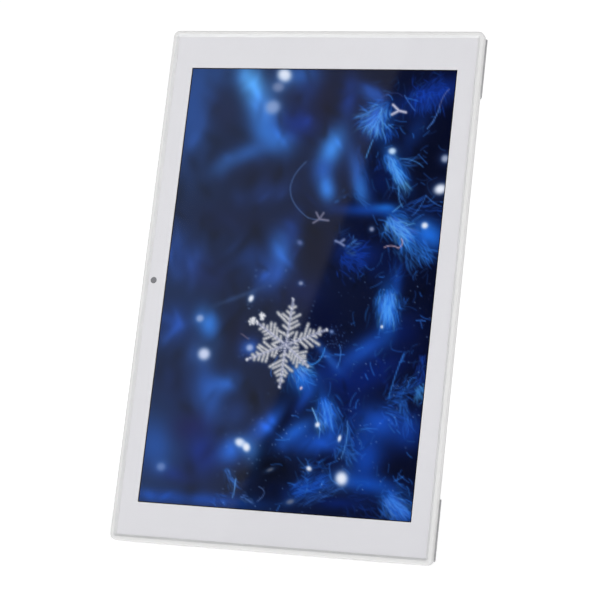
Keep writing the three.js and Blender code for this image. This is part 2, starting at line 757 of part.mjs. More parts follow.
function buildSwivel() {
  const profile = [
    [0, DISC.hubEnd],
    [DISC.hubRadius, DISC.hubEnd],
    [DISC.hubRadius, DISC.front],
    [DISC.radius - 0.5, DISC.front],
    [DISC.radius, DISC.front + 0.5],
    [DISC.radius, DISC.back - 1.6],
    [DISC.radius - 0.6, DISC.back - 0.5],
    [DISC.radius - 1.8, DISC.back],
    [0, DISC.back],
  ];
  const points = profile.map(([r, y]) => new THREE.Vector2(r, y));
  const puck = new THREE.LatheGeometry(points, 64).translate(0, 0, CENTRE_Z);
  const channel = box(
    [-CHANNEL_HALF_WIDTH, CHANNEL_HALF_WIDTH],
    [DISC.floor, DISC.back + 1],
    [CENTRE_Z - DISC.radius - 1, CENTRE_Z + CHANNEL_ABOVE_PIVOT],
  );
  const pinHole = barX(PIN.holeRadius, PIN.halfLength + 0.2, PIVOT.y, PIVOT.z);
  const holes = swivelScrewSpots().map((spot) => barY(SMALL_SCREW_HOLE_RADIUS, 8, 11, ...spot, 12));
  add("swivel_disc", cut(puck, channel, pinHole, ...holes), "whiteShell");

  const washer = new THREE.Shape().absarc(0, CENTRE_Z, RETAINER.radius, 0, Math.PI * 2, false);
  const washerHole = new THREE.Path();
  washerHole.absarc(0, CENTRE_Z, DISC.hubRadius + 0.5, 0, Math.PI * 2, true);
  washer.holes.push(washerHole);
  const washerSheet = new THREE.ExtrudeGeometry(washer, {
    depth: WASHER.back - WASHER.front,
    bevelEnabled: false,
    curveSegments: 24,
  });
  washerSheet.rotateX(Math.PI / 2).translate(0, WASHER.back, 0);
  add("swivel_friction_washer", washerSheet, "steel");

  const plate = barY(RETAINER.radius, RETAINER.front, RETAINER.back, 0, CENTRE_Z, 48);
  const plateHoles = swivelScrewSpots().map((spot) => barY(SMALL_SCREW_HOLE_RADIUS, 7, 9, ...spot, 12));
  const middleHole = barY(RETAINER.middleHole, 7, 9, 0, CENTRE_Z, 24);
  add("swivel_retainer", cut(plate, middleHole, ...plateHoles), "steel");

  swivelScrewSpots().forEach(([x, z], index) => {
    const screw = screwShape({
      x,
      z,
      neck: RETAINER.front - 0.05,
      top: 7.1,
      tip: 10.8,
      headRadius: 1.7,
      shankRadius: 0.85,
    });
    add(`swivel_screw_${index + 1}`, screw, "steel");
  });
  add("leg_hinge_pin", barX(PIN.radius, PIN.halfLength, PIVOT.y, PIVOT.z), "steel");
}

function swivelScrewSpots() {
  return [0, 1, 2].map((i) => {
    const angle = Math.PI / 2 + (i * Math.PI * 2) / 3;
    return [SWIVEL_SCREW_RADIUS * Math.cos(angle), CENTRE_Z + SWIVEL_SCREW_RADIUS * Math.sin(angle)];
  });
}

// The leg is drawn hanging straight down from its pivot, then swung out to its opening.
function buildLeg() {
  const opening = legOpening();
  const leg = new THREE.Group();
  leg.position.set(0, PIVOT.y, PIVOT.z);
  leg.rotation.x = opening;
  assembly.add(leg);

  const half = LEG.thickness / 2;
  const outline = new THREE.Shape();
  outline.moveTo(-LEG.halfWidth, 0);
  outline.lineTo(-LEG.halfWidth, -36);
  outline.bezierCurveTo(-LEG.halfWidth, -60, -LEG.tipHalfWidth, -70, -LEG.tipHalfWidth, -LEG.end);
  outline.lineTo(LEG.tipHalfWidth, -LEG.end);
  outline.bezierCurveTo(LEG.tipHalfWidth, -70, LEG.halfWidth, -60, LEG.halfWidth, -36);
  outline.lineTo(LEG.halfWidth, 0);
  const plate = new THREE.ExtrudeGeometry(outline, {
    depth: LEG.thickness - 1,
    bevelEnabled: true,
    bevelThickness: 0.5,
    bevelSize: 0.5,
    bevelOffset: -0.5,
    bevelSegments: 1,
    curveSegments: 6,
  });
  plate.rotateX(Math.PI / 2).translate(0, half - 0.5, 0);
  const tongue = box([-12, 12], [-0.7, 0.7], [-LEG.end - 2.2, -LEG.end + 1]);
  const barrel = barX(half, LEG.halfWidth, 0, 0);
  const hole = barX(PIN.holeRadius, LEG.halfWidth + 1, 0, 0);
  add("stand_leg", join(plate, tongue, barrel).subtract(toSolid(hole)), "whiteShell", leg);

  const groundAngle = -Math.PI / 2 - (opening - LEAN);
  const corner = LEG_FOOT.radius / Math.cos(Math.PI / LEG_FOOT.sides);
  const section = [];
  for (let i = 0; i < LEG_FOOT.sides; i += 1) {
    const angle = groundAngle + ((i + 0.5) * Math.PI * 2) / LEG_FOOT.sides;
    section.push([corner * Math.cos(angle), -LEG.length + corner * Math.sin(angle)]);
  }
  const tip = profileX(section, -LEG_FOOT.halfWidth, LEG_FOOT.halfWidth);
  const slot = box([-12.1, 12.1], [-0.8, 0.8], [-LEG.end - 2.3, 0]);
  const shoulder = box([-20, 20], [-5, 5], [-LEG.end - 0.1, 0]);
  add("leg_foot", cut(tip, slot, shoulder), "greyRubber", leg);
}

// ---------------------------------------------------------------- assemble and stand it up

buildFront();
buildMidFrame();
buildCamera();
buildDisplay();
buildChassis();
buildMainBoard();
buildPowerAndSound();
buildKeys();
buildCover();
buildSwivel();
buildLeg();

assembly.rotation.x = -LEAN;
assembly.updateMatrixWorld(true);
const bounds = new THREE.Box3().setFromObject(assembly, true);
const photoFrame = new THREE.Group();
photoFrame.position.set(
  -(bounds.min.x + bounds.max.x) / 2,
  -(bounds.min.y + bounds.max.y) / 2,
  -bounds.min.z,
);
photoFrame.add(assembly);

export default photoFrame;
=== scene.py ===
import json
import math

import bmesh
import bpy
import numpy as np
from mathutils import Matrix, Vector


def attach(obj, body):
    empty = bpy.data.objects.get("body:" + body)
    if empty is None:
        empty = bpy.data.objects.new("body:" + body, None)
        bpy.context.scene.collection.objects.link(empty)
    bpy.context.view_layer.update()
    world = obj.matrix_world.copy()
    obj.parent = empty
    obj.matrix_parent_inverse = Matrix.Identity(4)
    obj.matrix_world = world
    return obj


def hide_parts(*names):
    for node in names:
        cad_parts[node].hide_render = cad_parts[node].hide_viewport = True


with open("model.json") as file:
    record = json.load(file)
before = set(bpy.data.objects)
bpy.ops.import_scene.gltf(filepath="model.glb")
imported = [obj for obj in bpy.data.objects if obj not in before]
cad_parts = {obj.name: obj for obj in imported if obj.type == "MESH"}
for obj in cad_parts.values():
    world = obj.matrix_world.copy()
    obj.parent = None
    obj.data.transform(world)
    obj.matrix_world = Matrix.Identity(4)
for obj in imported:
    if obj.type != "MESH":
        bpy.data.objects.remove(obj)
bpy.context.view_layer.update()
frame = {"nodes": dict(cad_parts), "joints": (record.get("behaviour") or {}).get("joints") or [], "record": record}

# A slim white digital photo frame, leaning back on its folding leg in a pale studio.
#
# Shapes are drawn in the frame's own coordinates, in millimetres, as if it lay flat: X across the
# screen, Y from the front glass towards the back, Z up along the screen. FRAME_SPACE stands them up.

# ---------------------------------------------------------------- places taken from the frame

MM = 0.001
PIVOT_DEPTH, CENTRE_Z = 13.5, 128.0
joints = {joint["name"]: joint for joint in frame["joints"]}
BACK = -Vector(joints["stand_swivel"]["axis"])
RIGHT = Vector((1, 0, 0))
UP = RIGHT.cross(BACK)
PIVOT = Vector(joints["leg_fold"]["pos_m"])
OPENING = -math.radians(joints["leg_fold"]["range_deg"][0])
LEAN = math.atan2(UP.y, UP.z)


def space(origin, across, back, up):
    matrix = Matrix((across, back, up)).transposed().to_4x4()
    matrix.translation = origin
    return matrix


ORIGIN = PIVOT - BACK * PIVOT_DEPTH * MM - UP * CENTRE_Z * MM
FRAME_SPACE = space(ORIGIN, RIGHT, BACK, UP)
LEG_SPACE = space(PIVOT, RIGHT, BACK * math.cos(OPENING) + UP * math.sin(OPENING),
                  UP * math.cos(OPENING) - BACK * math.sin(OPENING))

# ---------------------------------------------------------------- sizes, in millimetres

HALF_W, HALF_H, CORNER = 80.1, 128.0, 3.0
ACTIVE_W, ACTIVE_H, DARK_EDGE = 135.6, 216.96, 0.5
GLASS_W, GLASS_H, GLASS_R, GLASS_BACK = 78.7, 126.6, 1.8, 1.1
PRINT_FRONT, PRINT_BACK = 1.15, 1.3
SEAT_W, SEAT_H = 77.1, 125.0
RING_BACK, RING_ROUNDING = 4.3, 0.76
LEDGE_FRONT, LEDGE_BACK, LEDGE_W, LEDGE_H = 1.65, 2.6, 75.2, 116.2
CELL_FRONT, CELL_BACK, CELL_W, CELL_H = 1.4, 2.4, 70.3, 112.3
CAMERA_X, CAMERA_HOLE = -74.6, 1.6
COVER_FRONT, COVER_BACK, COVER_INSIDE = 4.6, 10.2, 9.0
POST_X, POST_Z = 70.5, 119.0
CELL_POST_X, CELL_POST_Z = 60.0, 120.5
KEY_Y, KEY_HALF_H, KEY_FACE = 6.6, 1.0, -79.6
POWER_Z, POWER_LEN, VOLUME_Z, VOLUME_LEN = 226.0, 9.0, 196.0, 20.0
USB_X, USB_Y, USB_LOW, USB_HIGH = 10.0, 7.0, 246.4, 253.9
CARD_X, CARD_Y = 30.0, 8.2
DISC_R, HUB_R, DISC_FRONT, DISC_FLOOR, DISC_BACK = 40.0, 11.7, 10.45, 11.45, 15.5
LEG_W, LEG_TIP_W, LEG_THICK, LEG_LEN, LEG_END = 18.0, 14.0, 3.6, 118.0, 115.3
TAPER_START, TAPER_LEN = 34.0, 56.0
RECESS_W, RECESS_H, RECESS_R, RECESS_Z = 9.0, 5.0, 4.9, -98.0
FOOT_R = 2.6
UPRIGHT_FOOT_X, UPRIGHT_FOOT_HALF, FOOT_FRONT, FOOT_BACK = 52.0, 12.0, 6.5, 9.4
SIDE_FOOT_FACE, SIDE_FOOT_FRONT, SIDE_FOOT_TURN = 80.5, 4.45, 5.5
SIDE_FOOT_OFF, SIDE_FOOT_HALF = 111.2, 14.25
SPEAKER_X, SPEAKER_ROWS, GRILLE_PITCH, GRILLE_R = 59.0, (32, 224), 3, 0.6
SCREW_HOLE_R, PIN_HOLE_R, PIN_R, PIN_HALF = 1.2, 0.98, 0.9, 23.0
KEY_ROOT, FLANGE = -76.7, (-76.75, -76.3)

# ---------------------------------------------------------------- materials


def new_material(name):
    material = bpy.data.materials.new(name)
    material.use_nodes = True
    nodes = material.node_tree.nodes
    nodes.clear()
    output = nodes.new("ShaderNodeOutputMaterial")
    return material, nodes, material.node_tree.links, output


def noise(nodes, links, coords, scale, detail=3.0, roughness=0.5):
    node = nodes.new("ShaderNodeTexNoise")
    node.inputs["Scale"].default_value = scale
    node.inputs["Detail"].default_value = detail
    node.inputs["Roughness"].default_value = roughness
    links.new(coords, node.inputs["Vector"])
    return node.outputs["Fac"]


def map_range(nodes, links, value, source, target=(0, 1), blend="LINEAR"):
    node = nodes.new("ShaderNodeMapRange")
    node.interpolation_type = blend
    node.inputs["From Min"].default_value, node.inputs["From Max"].default_value = source
    node.inputs["To Min"].default_value, node.inputs["To Max"].default_value = target
    links.new(value, node.inputs["Value"])
    return node.outputs["Result"]


def spread(nodes, links, value, low, high):
    """Maps a noise value to the range low to high."""
    return map_range(nodes, links, value, (0.3, 0.7), (low, high))


def mix_colours(nodes, links, factor, first, second):
    node = nodes.new("ShaderNodeMix")
    node.data_type = "RGBA"
    links.new(factor, node.inputs["Factor"])
    node.inputs["A"].default_value = (*first, 1)
    node.inputs["B"].default_value = (*second, 1)
    return node.outputs["Result"]


def surface(name, light, dark, roughness, bump=0.1, grain=900, patch=40, stretch=(1, 1, 1),
            metallic=0.0, vary=0.05, coat=0.0):
    """A moulded, printed or metal surface: patchy colour, uneven gloss and a fine relief."""
    material, nodes, links, output = new_material(name)
    shader = nodes.new("ShaderNodeBsdfPrincipled")
    coords = nodes.new("ShaderNodeTexCoord")
    mapping = nodes.new("ShaderNodeMapping")
    mapping.inputs["Scale"].default_value = stretch
    links.new(coords.outputs["Object"], mapping.inputs["Vector"])
    patches = noise(nodes, links, coords.outputs["Object"], patch)
    fine = noise(nodes, links, mapping.outputs["Vector"], grain, 2.0, 0.6)
    tint = spread(nodes, links, patches, 0, 1)
    links.new(mix_colours(nodes, links, tint, light, dark), shader.inputs["Base Color"])
    links.new(spread(nodes, links, fine, roughness - vary, roughness + vary), shader.inputs["Roughness"])
    relief = nodes.new("ShaderNodeBump")
    relief.inputs["Strength"].default_value = bump
    relief.inputs["Distance"].default_value = 0.0002
    links.new(fine, relief.inputs["Height"])
    links.new(relief.outputs["Normal"], shader.inputs["Normal"])
    shader.inputs["Metallic"].default_value = metallic
    shader.inputs["Coat Weight"].default_value = coat
    links.new(shader.outputs["BSDF"], output.inputs["Surface"])
    return material


GLASS_IOR = 1.45


def clear_glass():
    """Thin clear glass: lets the picture and the lamps through, and its outer side mirrors by Fresnel."""
    material, nodes, links, output = new_material("cover_glass_clear")
    coords = nodes.new("ShaderNodeTexCoord")
    smears = noise(nodes, links, coords.outputs["Object"], 25, 4.0)
    gloss = nodes.new("ShaderNodeBsdfGlossy")
    gloss.inputs["Color"].default_value = (1, 1, 1, 1)
    links.new(spread(nodes, links, smears, 0.006, 0.014), gloss.inputs["Roughness"])
    through = nodes.new("ShaderNodeBsdfTransparent")
    through.inputs["Color"].default_value = (0.992, 0.994, 0.998, 1)
    fresnel = nodes.new("ShaderNodeFresnel")
    fresnel.inputs["IOR"].default_value = GLASS_IOR
    side = nodes.new("ShaderNodeNewGeometry")
    outside = nodes.new("ShaderNodeMath")
    outside.operation = "SUBTRACT"
    outside.inputs[0].default_value = 1
    links.new(side.outputs["Backfacing"], outside.inputs[1])
    mirror = nodes.new("ShaderNodeMath")
    mirror.operation = "MULTIPLY"
    links.new(fresnel.outputs["Fac"], mirror.inputs[0])
    links.new(outside.outputs["Value"], mirror.inputs[1])
    mix = nodes.new("ShaderNodeMixShader")
    links.new(mirror.outputs["Value"], mix.inputs["Fac"])
    links.new(through.outputs["BSDF"], mix.inputs[1])
    links.new(gloss.outputs["BSDF"], mix.inputs[2])
    links.new(mix.outputs["Shader"], output.inputs["Surface"])
    return material


def lit_screen():
    """The lit display: it glows in the colours painted on its mesh, under a fine grid of pixels."""
    material, nodes, links, output = new_material("lit_screen")
    picture = nodes.new("ShaderNodeVertexColor")
    picture.layer_name = "picture"
    coords = nodes.new("ShaderNodeTexCoord")
    grain = noise(nodes, links, coords.outputs["Object"], 3700, 1.0)
    level = spread(nodes, links, grain, 0.985, 1.015)
    shine = nodes.new("ShaderNodeVectorMath")
    shine.operation = "SCALE"
    links.new(picture.outputs["Color"], shine.inputs[0])
    links.new(level, shine.inputs["Scale"])
    shader = nodes.new("ShaderNodeBsdfPrincipled")
    shader.inputs["Base Color"].default_value = (0.001, 0.001, 0.0012, 1)
    shader.inputs["Roughness"].default_value = 0.5
    shader.inputs["Specular IOR Level"].default_value = 0.02
    links.new(shine.outputs["Vector"], shader.inputs["Emission Color"])
    shader.inputs["Emission Strength"].default_value = 1.0
    links.new(shader.outputs["BSDF"], output.inputs["Surface"])
    return material


MATERIALS = {
    "white_shell": surface("white_shell", (0.62, 0.619, 0.617), (0.60, 0.599, 0.597), 0.38, 0.10, 2600, 30),
    "white_ink": surface("white_ink", (0.64, 0.632, 0.648), (0.625, 0.618, 0.635), 0.45, 0.03, 1800, 18),
    "cover_glass": clear_glass(),
    "lcd_glass": surface("dark_screen_glass", (0.006, 0.007, 0.010), (0.004, 0.004, 0.006),
                         0.2, 0.02, 900, 60),
    "camera_glass": surface("camera_glass", (0.20, 0.20, 0.215), (0.17, 0.17, 0.18),
                            0.16, 0.02, 900, 200, coat=0.6),
    "white_film": surface("white_film", (0.82, 0.82, 0.80), (0.76, 0.76, 0.75), 0.5, 0.05, 1200, 60),
    "clear_acrylic": surface("clear_acrylic", (0.75, 0.79, 0.80), (0.70, 0.75, 0.76), 0.12, 0.02, 700, 60),
    "black_plastic": surface("black_plastic", (0.022, 0.022, 0.024), (0.014, 0.014, 0.015),
                             0.5, 0.2, 1500, 120),
    "circuit_board": surface("circuit_board", (0.02, 0.13, 0.06), (0.012, 0.085, 0.04), 0.4, 0.3, 700, 220),
    "amber_flex": surface("amber_flex", (0.50, 0.23, 0.05), (0.40, 0.17, 0.035), 0.35, 0.1, 900, 200,
                          stretch=(1, 0.1, 0.1)),
    "steel": surface("steel", (0.58, 0.58, 0.60), (0.50, 0.50, 0.52), 0.3, 0.12, 900, 150,
                     stretch=(1, 6, 6), metallic=1.0),
    "chassis_alloy": surface("chassis_alloy", (0.62, 0.63, 0.65), (0.56, 0.57, 0.59), 0.42, 0.1, 1400, 60,
                             metallic=1.0),
    "battery_foil": surface("battery_foil", (0.38, 0.39, 0.41), (0.30, 0.31, 0.33), 0.38, 0.25, 500, 90,
                            metallic=0.7),
    "grey_rubber": surface("grey_rubber", (0.36, 0.36, 0.368), (0.32, 0.32, 0.328), 0.72, 0.35, 2400, 160,
                           vary=0.08),
}
SCREEN = lit_screen()
GOLD = surface("gold_contacts", (0.83, 0.60, 0.24), (0.74, 0.52, 0.20), 0.28, 0.05, 1500, 300, metallic=1.0)

# ---------------------------------------------------------------- mesh making


def place(bm, matrix=FRAME_SPACE):
    """Scales a mesh drawn in millimetres and stands it up."""
    bmesh.ops.recalc_face_normals(bm, faces=bm.faces)
    bm.transform(matrix @ Matrix.Scale(MM, 4))


def to_object(bm, name, slot, matrix=FRAME_SPACE, sharp=30):
    place(bm, matrix)
    mesh = bpy.data.meshes.new(name)
    bm.to_mesh(mesh)
    bm.free()
    obj = bpy.data.objects.new(name, mesh)
    bpy.context.scene.collection.objects.link(obj)
    mesh.materials.append(MATERIALS[slot])
    mesh.shade_smooth()
    mesh.set_sharp_from_angle(angle=math.radians(sharp))
    return obj


def apply_modifiers(obj, sharp=30):
    evaluated = obj.evaluated_get(bpy.context.evaluated_depsgraph_get())
    mesh = bpy.data.meshes.new_from_object(evaluated)
    old = obj.data
    obj.modifiers.clear()
    obj.data = mesh
    bpy.data.meshes.remove(old)
    mesh.name = obj.name
    mesh.shade_smooth()
    mesh.set_sharp_from_angle(angle=math.radians(sharp))


def bevel(obj, width, segments=3, limit=35):
    modifier = obj.modifiers.new("bevel", "BEVEL")
    modifier.width = width * MM
    modifier.segments = segments
    modifier.limit_method = "ANGLE"
    modifier.angle_limit = math.radians(limit)
    apply_modifiers(obj)


def combine(obj, tools, operation="DIFFERENCE", sharp=30):
    """Cuts the tools from obj, or joins them to it, and removes the tools."""
    for tool in tools:
        modifier = obj.modifiers.new("combine", "BOOLEAN")
        modifier.operation = operation
        modifier.solver = "EXACT"
        modifier.object = tool
    bpy.context.view_layer.update()
    apply_modifiers(obj, sharp)
    for tool in tools:
        bpy.data.objects.remove(tool)


def finish_piece(obj, body, slot, *nodes):
    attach(obj, body)
    if nodes:
        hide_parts(*nodes)
    return obj


def arc(centre, radius, start, end, steps):
    angles = [math.radians(start + (end - start) * i / steps) for i in range(steps + 1)]
    return [(centre[0] + radius * math.cos(a), centre[1] + radius * math.sin(a)) for a in angles]


def rounded_rectangle(half_w, half_h, radius, centre=(0, CENTRE_Z), steps=10):
    points = []
    for number, (sx, sz) in enumerate([(1, 1), (-1, 1), (-1, -1), (1, -1)]):
        middle = (centre[0] + sx * (half_w - radius), centre[1] + sz * (half_h - radius))
        points += arc(middle, radius, number * 90, number * 90 + 90, steps)
    return points


def skin(bm, rings, closed=False, caps=True):
    """Joins rings of the same number of vertices, and closes their ends with one face each."""
    made = [[bm.verts.new(point) for point in ring] for ring in rings]
    pairs = list(zip(made, made[1:]))
    if closed:
        pairs.append((made[-1], made[0]))
    count = len(made[0])
    for low, high in pairs:
        for i in range(count):
            j = (i + 1) % count
            bm.faces.new((low[i], low[j], high[j], high[i]))
    if caps and not closed:
        bm.faces.new(made[0])
        bm.faces.new(made[-1])
    return made


def frame_rings(profile, steps=10):
    """Rounded rectangles, each given as (depth, half width, half height, corner radius)."""
    return [[(x, y, z) for x, z in rounded_rectangle(w, h, r, steps=steps)] for y, w, h, r in profile]


def circle(centre, radius, sides):
    return arc(centre, radius, 0, 360 * (sides - 1) / sides, sides - 1)


def lathe(bm, profile, x, z, sides):
    """Turns (radius, depth) points about an axis along the depth, and closes both ends."""
    skin(bm, [[(a, y, b) for a, b in circle((x, z), radius, sides)] for radius, y in profile])


def rod(bm, radius, y0, y1, x, z, sides=24):
    lathe(bm, [(radius, y0), (radius, y1)], x, z, sides)


def block(bm, x, y, z):
    ring = [(x[0], z[0]), (x[1], z[0]), (x[1], z[1]), (x[0], z[1])]
    skin(bm, [[(a, y[0], b) for a, b in ring], [(a, y[1], b) for a, b in ring]])


def cross_rod(bm, radius, half, y, z, sides=24):
    skin(bm, [[(x, a, b) for a, b in circle((y, z), radius, sides)] for x in (-half, half)])


# ---------------------------------------------------------------- the picture on the screen

GRID_COLUMNS, GRID_ROWS = 250, 399
PITCH_X, PITCH_Y = ACTIVE_W / (GRID_COLUMNS - 1), ACTIVE_H / (GRID_ROWS - 1)
FINE = 3
SEED = 20260
PATCHES, PATCHINESS = 420, 0.24
BRUSH_TINT = (0.8, 0.86, 1.0)


class Canvas:
    """A picture in display colours, addressed in millimetres from the screen's top left corner."""

    def __init__(self):
        self.shape = (GRID_ROWS * FINE, GRID_COLUMNS * FINE)
        self.step = np.array((PITCH_X / FINE, PITCH_Y / FINE))
        self.start = np.array((-PITCH_X / 2, -PITCH_Y / 2))
        rows, columns = np.mgrid[0:self.shape[0], 0:self.shape[1]]
        self.x = (columns + 0.5) * self.step[0] + self.start[0]
        self.y = (rows + 0.5) * self.step[1] + self.start[1]
        self.light = np.zeros((*self.shape, 3))

    def window(self, x, y, reach):
        low = (np.array((x - reach, y - reach)) - self.start) / self.step
        high = (np.array((x + reach, y + reach)) - self.start) / self.step
        low, high = np.maximum(low, 0).astype(int), np.maximum(high, 0).astype(int)
        return slice(low[1], high[1]), slice(low[0], high[0])

    def oval(self, x, y, long, wide, angle, power=2.0):
        """Where an oval patch lies, and its weight there; a high power firms up its edge."""
        patch = self.window(x, y, 2.2 * max(long, wide) + 1)
        dx, dy = self.x[patch] - x, self.y[patch] - y
        turn = math.radians(angle)
        along = (dx * math.cos(turn) + dy * math.sin(turn)) / long
        across = (dy * math.cos(turn) - dx * math.sin(turn)) / wide
        return patch, np.exp(-((along**2 + across**2) ** (power / 2)))[..., None]

    def glow(self, x, y, long, wide, angle, colour, strength, power=2.0):
        patch, weight = self.oval(x, y, long, wide, angle, power)
        self.light[patch] += strength * weight * (np.array(colour) - self.light[patch])

    def shade(self, x, y, long, wide, angle, amount):
        """Brightens or darkens a patch without changing its hue."""
        patch, weight = self.oval(x, y, long, wide, angle)
        self.light[patch] *= 1 + amount * weight

    def cover(self, points, weights, width):
        """How far many small round dabs, one at each point, hide the canvas."""
        hidden = np.zeros(self.shape)
        reach = int(math.ceil(1.6 * width / self.step[0]))
        base = np.floor((points - self.start) / self.step).astype(int)
        for row in range(-reach, reach + 1):
            for column in range(-reach, reach + 1):
                px, py = base[:, 0] + column, base[:, 1] + row
                inside = (px >= 0) & (py >= 0) & (px < self.shape[1]) & (py < self.shape[0])
                px, py = px[inside], py[inside]
                dx = self.x[py, px] - points[inside, 0]
                dy = self.y[py, px] - points[inside, 1]
                np.maximum.at(hidden, (py, px), weights[inside] * np.exp(-(dx**2 + dy**2) / width**2))
        return np.clip(hidden, 0, 1)[..., None]

    def stroke(self, points, weights, width, colour):
        self.light += self.cover(points, weights, width) * np.maximum(np.array(colour) - self.light, 0)

    def lay(self, points, width, colour, strength):
        """Covers what is below with a colour, whether that is darker or lighter."""
        self.light += strength * self.cover(points, np.ones(len(points)), width) * (
            np.array(colour) - self.light)

    def shown(self):
        """The colours at the grid's corners, each the mean of the fine cells about it."""
        cells = self.light.reshape(GRID_ROWS, FINE, GRID_COLUMNS, FINE, 3)
        return np.clip(cells.mean(axis=(1, 3)), 0, 1)


def curve_points(start, middle, end, spacing=0.11):
    """Points along a curve that leaves start towards middle and arrives at end."""
    start, middle, end = (np.array(p, float) for p in (start, middle, end))
    length = np.linalg.norm(middle - start) + np.linalg.norm(end - middle)
    t = np.linspace(0, 1, max(3, int(length / spacing)))[:, None]
    return (1 - t) ** 2 * start + 2 * t * (1 - t) * middle + t**2 * end


def turned(length, angle):
    return length * np.array([math.cos(math.radians(angle)), math.sin(math.radians(angle))])


def brush(canvas, rng, start, end, breadth, count, fan, reach, colour, strength, width):
    """Fine curved hairs rooted along the line from start to end, and leaning along it."""
    start, end = np.array(start, float), np.array(end, float)
    heading = math.degrees(math.atan2(*(end - start)[::-1]))
    side = turned(1, heading + 90)
    points, weights = [], []
    for _ in range(count):
        share = rng.uniform(0, 1)
        off = rng.normal(0, 0.5)
        root = start + (end - start) * share + side * off * breadth
        aim = heading + fan * (0.8 * off + rng.normal(0, 0.6))
        length = reach * rng.uniform(0.35, 1.0)
        bend = side * rng.normal(0, 0.16) * length
        line = curve_points(root, root + turned(length / 2, aim) + bend, root + turned(length, aim))
        fade = np.sin(np.linspace(0.5, math.pi * 0.97, len(line))) ** 0.6
        points.append(line)
        weights.append(fade * strength * rng.uniform(0.35, 1.0))
    canvas.stroke(np.concatenate(points), np.concatenate(weights), width, colour)


